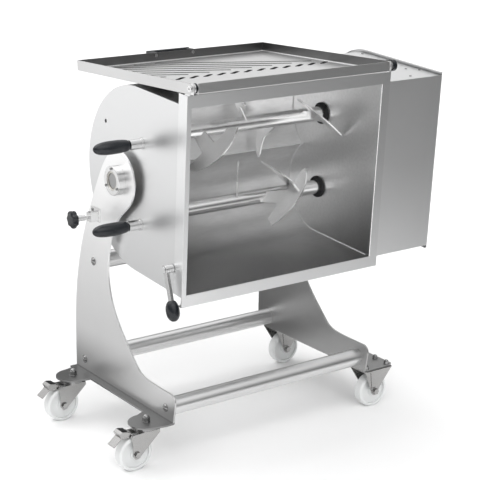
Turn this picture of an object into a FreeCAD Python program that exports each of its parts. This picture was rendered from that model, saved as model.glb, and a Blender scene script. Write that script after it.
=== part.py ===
"""Twin-shaft tilting meat mixer on a caster trolley, one STEP file per named piece.

Units are millimetres.  X runs along the mixing shafts towards the drive housing, -Y is the
side the mouth faces at rest, +Z is up.  Pieces of the bowl are drawn upright in a frame whose
origin is the tilt axis, with the mouth towards -y, and are then tipped by TILT.
"""
import FreeCAD
import Part
import math
import os

# Trolley
PLATE_OUT = 339.0          # half width over the two stand plates
PLATE_T = 5.0
BASE_Z = 125.0             # underside of the caster flanges
PIVOT_Z = 756.0
HEAD_R = 82.0
FOOT_REAR_Y = 280.0
FOOT_FRONT_Y = -262.0
TOE_Y = -274.0
TOE_TOP_Z = 211.0
TOE_R = 22.0
BELLY_Y = 264.0
BELLY_Z = 375.0
SHOULDER_Y = 199.0
SHOULDER_Z = 583.0
NECK_REAR_Y = 117.0
NECK_REAR_Z = 735.0
NECK_FRONT_Y = -3.0
NECK_FRONT_Z = 652.0
WAIST_Y = 70.0
WAIST_Z = 509.0
KNEE_Y = 49.0
KNEE_Z = 376.0
INSTEP_Y = -64.0
INSTEP_Z = 246.0
TUBE_R = 25.0
TUBE_WALL = 2.5
TUBE_LOW_Z = 164.0
TUBE_FRONT_Y = -225.0
TUBE_REAR_Y = 226.0
TUBE_HIGH_Y = 155.0
TUBE_HIGH_Z = 485.0
BOLT_R = 6.0
STRIP_W = 22.0             # narrow part of the bent flange
LOBE_R = 50.0
LOBE_X = PLATE_OUT + 51
PAD_W = 107.0              # wide flange over the fixed casters
CASTER_FRONT_Y = -206.0
CASTER_REAR_Y = 210.0
FIXED_X = PLATE_OUT + 49
FIXED_FRONT_Y = -227.0
FIXED_REAR_Y = 214.0

# Casters
WHEEL_R = 50.0
WHEEL_HALF = 16.0
HUB_HALF = 18.5
FORK_T = 3.0
FORK_IN = 20.0             # inner face of a fork leg from the middle
AXLE_R = 5.0
TRAIL_BRAKE = 42.0
RACE_R = 29.0
FORK_TOP_Z = 109.0
RACE_GAP = 0.4
PLATE_BOLT_X = 39.0
PLATE_BOLT_Y = 26.0
FIXED_TOP_T = 3.0
FIXED_FLARE = 34.5         # inner face of a fixed leg under its top plate
FIXED_RIB = 2.5

# Bowl
TILT = 4.14                # degrees that the mouth looks below the horizon at rest
MID = 11.0                 # height of the bowl's middle plane over the tilt axis
MOUTH = 299.0              # tilt axis to the front face of the rim
SHAFT_Y = -42.0
SHAFT_HALF = 113.0         # half the distance between the two shafts
TROUGH_R = 141.0
SHEET = 1.5
JACKET_R = SHAFT_HALF + TROUGH_R + 4
JACKET_Y = -56.0
COVER_X = 21 - PLATE_OUT
WALL_L = COVER_X + 14
WALL_R = PLATE_OUT - 14
WALL_T = 2.0
RIGHT_WALL_T = 3.0
RIM_T = 3.0
RIM_HALF = JACKET_R + 28.5
RIM_DEPTH = 40.0
LIP_DEPTH = 14.0
GAP_X1 = PLATE_OUT + 9     # far side of the slot in which the right stand plate runs
RIM_RIGHT = GAP_X1 + 5
BRIDGE_T = 2.0
BRIDGE_Y = -120.0
BRIDGE_TOP_Z = 180.0

# Shafts, blades and drive
SHAFT_R = 21.0
NECK_R = 12.5
SHAFT_END = GAP_X1 + 45
SEAL_R = 32.0
SEAL_T = 7.0
BEARING_R = 26.0
BEARING_FIT = 0.05
BLADE_R = SHAFT_HALF - 1.5
BLADE_T = 4.0
GEAR_M = SHAFT_HALF / 28.25
GEAR_TEETH_COUNT = 40
PINION_TEETH_COUNT = 19
GEAR_X = GAP_X1 + 14
GEAR_W = 24.0
BACKLASH = 0.6

# Tilt pivots
JOURNAL_R = 22.0
PIVOT_R = 41.0
PIVOT_OUT = 22.0
BUSH_R = 27.0
FIT = 0.05

# Drive housing
HOUSE_X1 = GAP_X1 + 193
COVER_X0 = HOUSE_X1 + 2
COVER_X1 = HOUSE_X1 + 10
COVER_LIP = 8.0            # how far the cover stands proud of the top, back and bottom
HOUSE_HALF = JACKET_R
HOUSE_BACK = 200.0
HOUSE_ROUND = 160.0
HOUSE_FRONT = -296.0

# Lid and hinge
HINGE_Y = -314.0
HINGE_Z = MID + RIM_HALF + 22.5
LID_ANGLE = -5.6
LID_BACK = 590.0
LID_FRONT = -12.0
LID_TOP = 13.0
LID_FLOOR = -15.5
LID_T = 2.0
LID_X0 = COVER_X
LID_X1 = WALL_R + 3
LID_IN0 = WALL_L + 1
LID_IN1 = WALL_R - 3
LID_NOTCH = 40.0
PAD_TOP = 8.2
ROD_R = 5.0
SLOT_PITCH = 44.5
SLOT_COUNT = 12
SLOT_LEN = 36.0
SLOT_W = 13.0
SLAT_COUNT = 9
SLAT_PITCH = 71.0
SLAT_W = 10.0

# Hand parts
GRIP_R = 18.0
GRIP_LEN = 108.0
FERRULE_R = 14.0
FERRULE_LEN = 40.0
GRIP_Y = -85.0
GRIP_TOP_Z = 122.0
GRIP_LOW_Z = -106.0
LATCH_Y = -251.0
LATCH_Z = -178.0
LATCH_LEAN = 20.0
LATCH_ARM = 84.0
INDEX_Y = JACKET_R - 136
INDEX_Z = PIVOT_Z - JACKET_R + 131
INDEX_PIN_R = 5.0
INDEX_TURN = 101.85        # tilt between the two places where the plunger catches
KNOB_R = 26.0

OUT = "parts"
SHAPES = {}


def vec(x, y, z):
    return FreeCAD.Vector(x, y, z)


def box(x0, x1, y0, y1, z0, z1):
    return Part.makeBox(x1 - x0, y1 - y0, z1 - z0, vec(x0, y0, z0))


def rod(radius, x0, x1, y, z):
    """A cylinder along X."""
    return Part.makeCylinder(radius, x1 - x0, vec(x0, y, z), vec(1, 0, 0))


def ring(outer, inner, x0, x1, y, z):
    return rod(outer, x0, x1, y, z).cut(rod(inner, x0 - 1, x1 + 1, y, z))


def pin(radius, x, y, z0, z1):
    """A cylinder along Z."""
    return Part.makeCylinder(radius, z1 - z0, vec(x, y, z0), vec(0, 0, 1))


def cross(radius, x, y0, y1, z):
    """A cylinder along Y."""
    return Part.makeCylinder(radius, y1 - y0, vec(x, y0, z), vec(0, 1, 0))


def hexagon(across, x0, x1, y, z):
    """A hexagonal prism along X."""
    r = across / math.sqrt(3)
    pts = [vec(x0, y + r * math.cos(math.radians(60 * k)), z + r * math.sin(math.radians(60 * k)))
           for k in range(7)]
    return Part.Face(Part.makePolygon(pts)).extrude(vec(x1 - x0, 0, 0))


def prism_x(points, x0, x1):
    """A closed outline of (y, z) points drawn out along X."""
    pts = [vec(x0, y, z) for y, z in points]
    return Part.Face(Part.makePolygon(pts + pts[:1])).extrude(vec(x1 - x0, 0, 0))


def prism_z(points, z0, z1):
    pts = [vec(x, y, z0) for x, y in points]
    return Part.Face(Part.makePolygon(pts + pts[:1])).extrude(vec(0, 0, z1 - z0))


def prism_y(points, y0, y1):
    pts = [vec(x, y0, z) for x, z in points]
    return Part.Face(Part.makePolygon(pts + pts[:1])).extrude(vec(0, y1 - y0, 0))


def fuse(shapes):
    body = shapes[0]
    for other in shapes[1:]:
        body = body.fuse(other)
    return body.removeSplitter()


def group(shapes):
    return shapes[0] if len(shapes) == 1 else Part.makeCompound(shapes)


def turned(shape, centre, axis, degrees):
    copy = shape.copy()
    copy.rotate(centre, axis, degrees)
    return copy


def moved(shape, x, y, z):
    copy = shape.copy()
    copy.translate(vec(x, y, z))
    return copy


def mirror_x(shape):
    return shape.mirror(vec(0, 0, 0), vec(1, 0, 0))


def tip(shape):
    """From the upright bowl frame to the stand, at the rest tilt."""
    return moved(turned(shape, vec(0, 0, 0), vec(1, 0, 0), TILT), 0, 0, PIVOT_Z)


def soften(shape, radius, keep):
    """Fillets the edges that keep() picks, or returns the shape when that can't be built."""
    edges = [e for e in shape.Edges if keep(e)]
    if not edges:
        return shape
    try:
        done = shape.makeFillet(radius, edges)
        return done if done.isValid() and len(done.Solids) == len(shape.Solids) else shape
    except Exception:
        return shape


def dome(radius, height, x, y, z, side):
    """A button head whose flat face is at x and which rises towards side (+1 or -1)."""
    sphere_r = (radius * radius + height * height) / (2 * height)
    full = math.asin(radius / sphere_r)
    steps = 5
    rise = [(side * (height - sphere_r + sphere_r * math.cos(full * k / steps)),
             sphere_r * math.sin(full * k / steps)) for k in range(steps + 1)]
    return turned_solid([(0, 0)] + rise, x, y, z)


def turned_solid(profile, x, y, z):
    """A solid of revolution about X from (along, radius) points, closed on the axis."""
    pts = [vec(x + a, y, z + r) for a, r in profile]
    face = Part.Face(Part.makePolygon(pts + pts[:1]))
    return face.revolve(vec(x, y, z), vec(1, 0, 0), 360)


# Stand

def plate_outline(x):
    """The swan-neck outline of a stand plate, as a face in the plane X = x."""
    def p(y, z):
        return vec(x, y, z)

    def head(degrees):
        a = math.radians(degrees)
        return p(HEAD_R * math.cos(a), PIVOT_Z + HEAD_R * math.sin(a))

    def along(degrees):
        a = math.radians(degrees)
        return vec(0, -math.sin(a), math.cos(a))

    rear = Part.BSplineCurve()
    rear.interpolate(
        [p(FOOT_REAR_Y, BASE_Z), p(BELLY_Y, BELLY_Z), p(SHOULDER_Y, SHOULDER_Z),
         p(NECK_REAR_Y, NECK_REAR_Z), head(48)],
        InitialTangent=vec(0, -0.03, 1), FinalTangent=along(48))
    front = Part.BSplineCurve()
    front.interpolate(
        [head(205), p(NECK_FRONT_Y, NECK_FRONT_Z), p(WAIST_Y, WAIST_Z), p(KNEE_Y, KNEE_Z),
         p(INSTEP_Y, INSTEP_Z), p(TOE_Y + TOE_R + 4, TOE_TOP_Z)],
        InitialTangent=along(205), FinalTangent=vec(0, -1, 0))
    crown = Part.Arc(head(48), head(126), head(205)).toShape()
    toe_end = p(TOE_Y, TOE_TOP_Z - TOE_R)
    toe_mid = p(TOE_Y + 0.3 * TOE_R + 1, TOE_TOP_Z - 0.3 * TOE_R + 1)
    toe = Part.Arc(p(TOE_Y + TOE_R + 4, TOE_TOP_Z), toe_mid, toe_end).toShape()
    sole = Part.makePolygon([toe_end, p(FOOT_FRONT_Y, BASE_Z), p(FOOT_REAR_Y, BASE_Z)])
    edges = [rear.toShape(), crown, front.toShape(), toe] + sole.Edges
    return Part.Face(Part.Wire(Part.__sortEdges__(edges)))


def tube_spots():
    return [(TUBE_FRONT_Y, TUBE_LOW_Z), (TUBE_REAR_Y, TUBE_LOW_Z), (TUBE_HIGH_Y, TUBE_HIGH_Z)]


def plate_blank(hole_r):
    """A plate at the right-hand side, with the bolt holes and the pivot hole."""
    x0 = PLATE_OUT - PLATE_T
    blank = plate_outline(x0).extrude(vec(PLATE_T, 0, 0))
    blank = blank.cut(rod(hole_r, x0 - 1, PLATE_OUT + 1, 0, PIVOT_Z))
    for y, z in tube_spots():
        blank = blank.cut(rod(BOLT_R + 0.3, x0 - 1, PLATE_OUT + 1, y, z))
    return blank


def lobe(y, lean):
    """A round caster lobe that runs into the plate, thicker on the side of lean."""
    disc = pin(LOBE_R, LOBE_X, y, BASE_Z, BASE_Z + PLATE_T)
    root = prism_z([(PLATE_OUT - 1, y - 60), (LOBE_X, y - LOBE_R), (LOBE_X, y + LOBE_R),
                    (PLATE_OUT - 1, y + 60 + lean)], BASE_Z, BASE_Z + PLATE_T)
    return disc.fuse(root)


def left_flange():
    strip = box(PLATE_OUT - PLATE_T, PLATE_OUT + STRIP_W, FOOT_FRONT_Y, FOOT_REAR_Y,
                BASE_Z, BASE_Z + PLATE_T)
    front = lobe(CASTER_FRONT_Y, 14).common(
        box(0, 2 * LOBE_X, FOOT_FRONT_Y, 0, BASE_Z - 1, BASE_Z + 2 * PLATE_T))
    return fuse([strip, front, lobe(CASTER_REAR_Y, 0)])


def right_flange():
    """One wide flange over both fixed casters."""
    strip = box(PLATE_OUT - PLATE_T, PLATE_OUT + PAD_W, FOOT_FRONT_Y, FOOT_REAR_Y, BASE_Z, BASE_Z + PLATE_T)
    return soften(strip, 14, lambda e: vertical_at(e, PLATE_OUT + PAD_W))


def vertical_at(edge, x):
    a, b = edge.Vertexes[0].Point, edge.Vertexes[-1].Point
    return abs(a.x - b.x) < 1e-6 and abs(a.y - b.y) < 1e-6 and abs(a.x - x) < 1e-3


def bend_edge(edge):
    pts = [v.Point for v in edge.Vertexes]
    return all(abs(q.x - (PLATE_OUT - PLATE_T)) < 1e-3 and abs(q.z - BASE_Z) < 1e-3 for q in pts)


def stand_plates():
    left = fuse([plate_blank(PIVOT_R - 9), left_flange()])
    left = soften(left, 4, bend_edge)
    for y in (CASTER_FRONT_Y, CASTER_REAR_Y):
        left = left.cut(pin(BOLT_R + 0.3, LOBE_X, y, BASE_Z - 1, BASE_Z + 9))
    left = mirror_x(left)
    left = left.cut(rod(INDEX_PIN_R + 0.5, -PLATE_OUT - 1, -PLATE_OUT + 9, INDEX_Y, INDEX_Z))
    SHAPES["stand_plate_left"] = left
    right = fuse([plate_blank(PIVOT_R - 8), right_flange()])
    right = soften(right, 4, bend_edge)
    for x, y in plate_bolt_spots():
        right = right.cut(pin(4.3, x, y, BASE_Z - 1, BASE_Z + 9))
    SHAPES["stand_plate_right"] = right


def cross_tubes():
    x = PLATE_OUT - PLATE_T
    names = ("cross_tube_front", "cross_tube_rear", "cross_tube_upper")
    bolts = []
    for name, (y, z) in zip(names, tube_spots()):
        tube = ring(TUBE_R, TUBE_R - TUBE_WALL, -x, x, y, z)
        for side in (-1, 1):
            plug = rod(TUBE_R - TUBE_WALL / 2, x - 16, x, y, z)
            plug = plug.cut(rod(BOLT_R + 0.02, x - 17, x + 1, y, z))
            bolt = fuse([rod(BOLT_R, x - 15, PLATE_OUT, y, z),
                         rod(12, PLATE_OUT, PLATE_OUT + 1.5, y, z),
                         dome(10.5, 5.5, PLATE_OUT + 1.5, y, z, 1)])
            if side < 0:
                plug, bolt = mirror_x(plug), mirror_x(bolt)
            tube = tube.fuse(plug)
            bolts.append(bolt)
        SHAPES[name] = tube.removeSplitter()
    SHAPES["tube_bolts"] = group(bolts)


def screw_spots(radius, first):
    return [(radius * math.cos(math.radians(first + 120 * k)),
             radius * math.sin(math.radians(first + 120 * k))) for k in range(3)]


def pivots():
    """Flanged rings on the plates and the bushes inside them; returns their cap screws."""
    x_in, x_out = PLATE_OUT - PLATE_T, PLATE_OUT
    spigot = PIVOT_R - 9.02
    left = fuse([rod(PIVOT_R, x_out, x_out + PIVOT_OUT, 0, PIVOT_Z),
                 rod(spigot, x_in, x_out, 0, PIVOT_Z)])
    left = soften(left, 2, lambda e: abs(e.BoundBox.XMin - x_out - PIVOT_OUT) < 1e-3)
    left = left.cut(rod(BUSH_R, x_in - 1, x_out + PIVOT_OUT + 1, 0, PIVOT_Z))
    screws = []
    for y, z in screw_spots(34, 90):
        left = left.cut(rod(2.05, x_out - 2, x_out + PIVOT_OUT + 1, y, PIVOT_Z + z))
        head = x_out + PIVOT_OUT
        body = fuse([rod(2, x_out + 6, head, y, PIVOT_Z + z), rod(3.8, head, head + 3, y, PIVOT_Z + z)])
        screws.append(mirror_x(body.cut(hexagon(3, head + 1.2, head + 4, y, PIVOT_Z + z))))
    SHAPES["pivot_housing_left"] = mirror_x(left)
    right = fuse([rod(PIVOT_R, x_out, x_out + PLATE_T, 0, PIVOT_Z),
                  rod(PIVOT_R - 8.02, x_in, x_out, 0, PIVOT_Z)])
    right = right.cut(rod(BUSH_R + 1, x_in - 1, x_out + 9, 0, PIVOT_Z))
    for y, z in screw_spots(37, 30):
        right = right.cut(rod(2.05, x_out - 2, x_out + 9, y, PIVOT_Z + z))
        screws.append(fuse([rod(2, x_out, x_out + PLATE_T, y, PIVOT_Z + z),
                            dome(3.4, 2.6, x_out + PLATE_T, y, PIVOT_Z + z, 1)]))
    SHAPES["pivot_housing_right"] = right
    left_bush = fuse([rod(BUSH_R - 0.02, x_in - 4, x_out + PIVOT_OUT - 2, 0, PIVOT_Z),
                      rod(PIVOT_R - 5, x_in - 4, x_in, 0, PIVOT_Z)])
    left_bush = mirror_x(left_bush.cut(rod(JOURNAL_R + FIT, x_in - 9, x_out + 40, 0, PIVOT_Z)))
    right_bush = ring(BUSH_R + 0.98, JOURNAL_R + FIT, x_in - 1.5, x_out + 4.5, 0, PIVOT_Z)
    SHAPES["pivot_bushes"] = group([left_bush, right_bush])
    return screws


def index_lock():
    """Plunger block and the plunger with its knob; returns the block's bolts."""
    x0 = -PLATE_OUT
    block = fuse([box(x0 - 5, x0, INDEX_Y - 16, INDEX_Y + 30, INDEX_Z - 17, INDEX_Z + 22),
                  box(x0 - 30, x0 - 5, INDEX_Y - 14, INDEX_Y + 12, INDEX_Z - 13, INDEX_Z + 13)])
    block = soften(block, 2.5, lambda e: abs(e.BoundBox.XLength - 25) < 1e-3)
    block = block.cut(rod(INDEX_PIN_R + 4, x0 - 26, x0 - 5, INDEX_Y, INDEX_Z))
    block = block.cut(rod(INDEX_PIN_R + FIT, x0 - 31, x0 + 1, INDEX_Y, INDEX_Z))
    bolts = []
    for y, z in ((INDEX_Y + 21, INDEX_Z + 14), (INDEX_Y + 21, INDEX_Z - 9)):
        block = block.cut(rod(3.1, x0 - 6, x0 + 1, y, z))
        bolts.append(fuse([rod(3.08, x0 - 5, x0, y, z), dome(5.6, 3.6, x0 - 5, y, z, -1)]))
    SHAPES["index_block"] = block
    SHAPES["index_plunger"] = fuse([
        rod(INDEX_PIN_R, x0 - 76, COVER_X - 1, INDEX_Y, INDEX_Z),
        rod(8.5, x0 - 66, x0 - 42, INDEX_Y, INDEX_Z)])
    knob = [rod(KNOB_R - 4, x0 - 90, x0 - 70, INDEX_Y, INDEX_Z)]
    for k in range(7):
        a = math.radians(360 / 7 * k)
        knob.append(rod(6.5, x0 - 87, x0 - 73, INDEX_Y + (KNOB_R - 6.5) * math.cos(a),
                        INDEX_Z + (KNOB_R - 6.5) * math.sin(a)))
    hub = rod(11, x0 - 70, x0 - 66, INDEX_Y, INDEX_Z)
    body = fuse(knob + [hub]).cut(rod(INDEX_PIN_R + 0.02, x0 - 76, x0 - 60, INDEX_Y, INDEX_Z))
    SHAPES["index_knob"] = body
    return bolts


# Casters, drawn with the swivel axis at the origin and the wheel trailing to -x

def wheel(trail):
    """A plain nylon wheel with recessed sides."""
    half, rim_in = WHEEL_HALF, WHEEL_R - 9
    outer = [(-half, 0), (-half, WHEEL_R - 4), (-half + 4, WHEEL_R), (half - 4, WHEEL_R),
             (half, WHEEL_R - 4), (half, 0)]
    body = turned_solid(outer, 0, 0, 0)
    for side in (-1, 1):
        lo, hi = sorted((side * half, side * (half - 7)))
        body = body.cut(ring(rim_in, 17, lo - 0.01, hi + 0.01, 0, 0))
    body = body.fuse(rod(14, -HUB_HALF, HUB_HALF, 0, 0)).removeSplitter()
    body = body.cut(rod(AXLE_R + FIT, -half - 9, half + 9, 0, 0))
    body = turned(body, vec(0, 0, 0), vec(0, 0, 1), 90)
    return moved(body, -trail, 0, WHEEL_R)


def fork(trail):
    """Bent sheet fork with ears for the brake, its race ring, axle bolt and nut."""
    low = 13.0
    a = math.radians(50)
    leg = [(-34, FORK_TOP_Z), (30, FORK_TOP_Z), (30, FORK_TOP_Z - 9),
           (-trail + low * math.cos(-a / 2), WHEEL_R + low * math.sin(-a / 2)),
           (-trail + 4, WHEEL_R - low), (-trail - 6, WHEEL_R - low),
           (-trail - low, WHEEL_R - 3), (-trail - low, WHEEL_R + 30),
           (-60, FORK_TOP_Z - 8), (-60, FORK_TOP_Z)]
    legs = []
    for side in (-1, 1):
        y0, y1 = sorted((side * FORK_IN, side * (FORK_IN + FORK_T)))
        legs.append(prism_y(leg, y0, y1))
    top = box(-34, 30, -FORK_IN, FORK_IN, FORK_TOP_Z - FORK_T, FORK_TOP_Z)
    body = fuse([top] + legs)
    body = fuse([body, pin(RACE_R, 0, 0, FORK_TOP_Z, FORK_TOP_Z + 2.6)])
    body = body.cut(pin(BOLT_R + FIT, 0, 0, FORK_TOP_Z - 9, FORK_TOP_Z + 9))
    y = FORK_IN + FORK_T
    body = body.cut(cross(AXLE_R + 0.02, -trail, -y - 1, y + 1, WHEEL_R))
    body = body.cut(cross(3.02, -52, -y - 1, y + 1, FORK_TOP_Z - 4))
    lever_pin = fuse([cross(3, -52, -y, y, FORK_TOP_Z - 4), cross(5, -52, -y - 2, -y, FORK_TOP_Z - 4),
                      cross(5, -52, y, y + 2, FORK_TOP_Z - 4)])
    return group([body, lever_pin] + axle(-trail, y))


def axle(x, y):
    """Axle bolt and nut outside fork legs whose outer faces are at -y and y."""
    bolt = fuse([cross(AXLE_R, x, -y, y + 8, WHEEL_R), across_y(hexagon(16, 0, 6, 0, 0), x, -y - 6)])
    nut = across_y(hexagon(16, 0, 6, 0, 0).cut(rod(AXLE_R + 0.02, -1, 9, 0, 0)), x, y)
    return [bolt, nut]


def across_y(shape, x, y):
    """Turns a shape drawn along X so that it runs along Y, at the height of the axle."""
    return moved(turned(shape, vec(0, 0, 0), vec(0, 0, 1), 90), x, y, WHEEL_R)


def fixed_leg(out, half_top, half_low):
    """One flared sheet of a fixed fork, as wide as given at its top and round its axle."""
    top = BASE_Z - FIXED_TOP_T
    path = [(FORK_IN, 0), (FORK_IN, WHEEL_R + 12), (FIXED_FLARE, top)]
    inner = [(y + out, z) for y, z in path]
    outer = [(y + out + FORK_T, z) for y, z in path]
    wall = prism_x(inner + outer[::-1], -half_top, half_top)
    corners = [(-half_top, top), (half_top, top), (half_low, WHEEL_R), (-half_low, WHEEL_R)]
    outline = prism_y(corners, 0, 2 * FIXED_FLARE)
    return wall.common(outline.fuse(cross(half_low, 0, 0, 2 * FIXED_FLARE, WHEEL_R)))


def fixed_fork():
    """Rigid fork: top plate and two flared legs, each with a pressed channel, and the axle."""
    leg = fuse([fixed_leg(0, 50, 13), fixed_leg(FIXED_RIB, 31, 10)])
    top = soften(box(-52, 52, -41, 41, BASE_Z - FIXED_TOP_T, BASE_Z), 8,
                 lambda e: vertical_at(e, 52) or vertical_at(e, -52))
    body = fuse([top, leg, leg.mirror(vec(0, 0, 0), vec(0, 1, 0))])
    y = FORK_IN + FORK_T + FIXED_RIB
    body = body.cut(cross(AXLE_R + 0.02, 0, -y - 1, y + 1, WHEEL_R))
    for sx in (-1, 1):
        for sy in (-1, 1):
            body = body.cut(pin(4.3, sx * PLATE_BOLT_X, sy * PLATE_BOLT_Y, BASE_Z - 9, BASE_Z + 1))
    return group([body] + axle(0, y))


def kingpin(top_z):
    """Fixed cup and rivet on which a fork turns."""
    z = FORK_TOP_Z + 2.6 + RACE_GAP
    return fuse([pin(RACE_R, 0, 0, z, top_z), pin(BOLT_R, 0, 0, FORK_TOP_Z - 7, z + 1),
                 pin(9.5, 0, 0, FORK_TOP_Z - 7, FORK_TOP_Z - FORK_T - RACE_GAP)])


def brake_lever():
    """Foot lever with its tread, on the pin behind the fork's top."""
    z = FORK_TOP_Z - 4
    side = [(-48, z + 4), (-56, z + 5), (-88, z + 1), (-112, z - 19), (-110, z - 21.5),
            (-87, z - 2), (-56, z - 3), (-48, z - 3)]
    body = prism_y(side, -16, 16)
    hub = cross(5.5, -52, -FORK_IN + 0.6, FORK_IN - 0.6, z)
    pad = prism_y([(-57, z + 4), (-87, z), (-93, z + 12), (-84, z + 19), (-66, z + 15), (-57, z + 9)],
                  -17, 17)
    pad = soften(pad, 2, lambda e: abs(e.BoundBox.YLength - 34) < 1e-3)
    return fuse([body, hub, pad]).cut(cross(3 + FIT, -52, -30, 30, z))


def plate_bolt_spots():
    return [(FIXED_X + sx * PLATE_BOLT_X, y + sy * PLATE_BOLT_Y)
            for y in (FIXED_FRONT_Y, FIXED_REAR_Y) for sx in (-1, 1) for sy in (-1, 1)]


def upright(shape, x, y, z):
    """Turns a shape drawn along X so that it points up."""
    return moved(turned(shape, vec(0, 0, 0), vec(0, 1, 0), -90), x, y, z)


def cap_nut(across, bore, height):
    """Hexagonal nut with a domed cap, and its washer as one piece, drawn along X."""
    nut = fuse([rod(0.62 * across, 0, 1.5, 0, 0), hexagon(across, 1.5, height, 0, 0),
                dome(0.44 * across, 0.4 * across, height, 0, 0, 1)])
    return nut.cut(rod(bore, -1, height, 0, 0))


def casters():
    studs, fixings = [], []
    for tag, y in (("fl", CASTER_FRONT_Y), ("rl", CASTER_REAR_Y)):
        SHAPES["caster_fork_" + tag] = moved(fork(TRAIL_BRAKE), -LOBE_X, y, 0)
        SHAPES["caster_wheel_" + tag] = moved(wheel(TRAIL_BRAKE), -LOBE_X, y, 0)
        SHAPES["brake_lever_" + tag] = moved(brake_lever(), -LOBE_X, y, 0)
        stud = fuse([kingpin(BASE_Z), pin(BOLT_R, 0, 0, BASE_Z - 1, BASE_Z + 12)])
        studs.append(moved(stud, -LOBE_X, y, 0))
        fixings.append(upright(cap_nut(19, BOLT_R + 0.02, 13), -LOBE_X, y, BASE_Z + PLATE_T))
    for tag, y in (("fr", FIXED_FRONT_Y), ("rr", FIXED_REAR_Y)):
        SHAPES["caster_fork_" + tag] = moved(fixed_fork(), FIXED_X, y, 0)
        SHAPES["caster_wheel_" + tag] = moved(wheel(0), FIXED_X, y, 0)
    for x, y in plate_bolt_spots():
        low = BASE_Z - FIXED_TOP_T
        fixings.append(fuse([pin(4, x, y, low, BASE_Z + PLATE_T + 8), pin(5.8, x, y, low - 2.5, low)]))
        fixings.append(upright(cap_nut(13, 4.02, 9), x, y, BASE_Z + PLATE_T))
    SHAPES["caster_studs"] = group(studs)
    SHAPES["caster_fixings"] = group(fixings)


# Bowl, in the upright bowl frame

def d_shape(radius, x0, x1, y_front):
    """A slab with the bowl's side profile: straight sides and a half-round back."""
    back = rod(radius, x0, x1, JACKET_Y, MID)
    slab = box(x0, x1, y_front, JACKET_Y, MID - radius, MID + radius)
    room = box(x0, x1, y_front, JACKET_Y + radius + 1, MID - radius - 1, MID + radius + 1)
    return slab.fuse(back).common(room).removeSplitter()


def trough_core(radius, x0, x1, y_front):
    half = SHAFT_HALF + radius
    core = box(x0, x1, y_front, SHAFT_Y, MID - half, MID + half)
    for side in (-1, 1):
        core = core.fuse(rod(radius, x0, x1, SHAFT_Y, MID + side * SHAFT_HALF))
    return core.removeSplitter()


def shaft_holes(shape, radius, x0, x1):
    for side in (-1, 1):
        shape = shape.cut(rod(radius, x0, x1, SHAFT_Y, MID + side * SHAFT_HALF))
    return shape


def index_holes():
    """Holes for the plunger, at rest and with the mouth upright, in the bowl frame."""
    spots = []
    for turn in (0, INDEX_TURN):
        a = math.radians(-TILT + turn)
        dy, dz = INDEX_Y, INDEX_Z - PIVOT_Z
        spots.append((dy * math.cos(a) - dz * math.sin(a), dy * math.sin(a) + dz * math.cos(a)))
    return spots


def bowl_shell():
    front = -MOUTH + RIM_T
    outer = d_shape(JACKET_R, COVER_X + WALL_T, WALL_R + RIGHT_WALL_T, front)
    inner = d_shape(JACKET_R - SHEET, COVER_X, WALL_R + 9, front - 1)
    SHAPES["bowl_jacket"] = tip(outer.cut(inner))
    skin = trough_core(TROUGH_R + SHEET, WALL_L, WALL_R, front)
    SHAPES["trough"] = tip(skin.cut(trough_core(TROUGH_R, WALL_L - 1, WALL_R + 1, front - 1)))
    snug = JACKET_R - SHEET - 0.05
    left = d_shape(snug, WALL_L - WALL_T, WALL_L, front)
    SHAPES["end_wall_left"] = tip(shaft_holes(left, NECK_R + 1.5, WALL_L - 9, WALL_L + 9))
    right = d_shape(snug, WALL_R, WALL_R + RIGHT_WALL_T, front)
    for side in (-1, 1):
        right = right.fuse(rod(NECK_R + 4, WALL_R, GAP_X1, SHAFT_Y, MID + side * SHAFT_HALF))
    SHAPES["end_wall_right"] = tip(shaft_holes(right, NECK_R + 1, WALL_R - 9, GAP_X1 + 9))
    cover = d_shape(JACKET_R, COVER_X, COVER_X + WALL_T, -MOUTH + RIM_DEPTH)
    for y, z in index_holes():
        cover = cover.cut(rod(INDEX_PIN_R + 0.5, COVER_X - 1, COVER_X + 9, y, z))
    SHAPES["end_cover_left"] = tip(cover)


def mouth_rim():
    """Folded frame round the mouth, deep along the top and the sides."""
    y0, y1, deep = -MOUTH, -MOUTH + RIM_T, -MOUTH + RIM_DEPTH
    top, low = MID + RIM_HALF, MID - RIM_HALF
    half = SHAFT_HALF + TROUGH_R
    jacket = MID + JACKET_R
    plate = box(COVER_X, RIM_RIGHT, y0, y1, low, top)
    plate = plate.cut(box(WALL_L, WALL_R, y0 - 1, y1 + 1, MID - half, MID + half))
    parts = [plate,
             box(COVER_X, GAP_X1, y1, deep, top - RIM_T, top),
             box(COVER_X, COVER_X + WALL_T, y1, deep, MID - JACKET_R, top),
             box(GAP_X1 - RIM_T, GAP_X1, y1, deep, low, top),
             box(COVER_X, GAP_X1, y1, y1 + LIP_DEPTH, low, low + RIM_T),
             box(COVER_X, GAP_X1, deep - WALL_T, deep, jacket + 0.05, top)]
    SHAPES["mouth_rim"] = tip(fuse(parts + hinge_ears()))


def hinge_ears():
    """Lugs on top of the rim that carry the hinge rod."""
    ears = []
    foot_z = MID + RIM_HALF - 1
    for x0 in (LID_X0 + 2.5, LID_X1 + 0.5):
        x1 = x0 + 5
        lug = rod(13, x0, x1, HINGE_Y, HINGE_Z)
        web = prism_x([(-MOUTH + 1, foot_z), (-MOUTH + 19, foot_z), (HINGE_Y + 12.9, HINGE_Z),
                       (HINGE_Y - 12, HINGE_Z - 5)], x0, x1)
        ears.append(fuse([lug, web]).cut(rod(ROD_R + 0.02, x0 - 1, x1 + 1, HINGE_Y, HINGE_Z)))
    return ears


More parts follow.
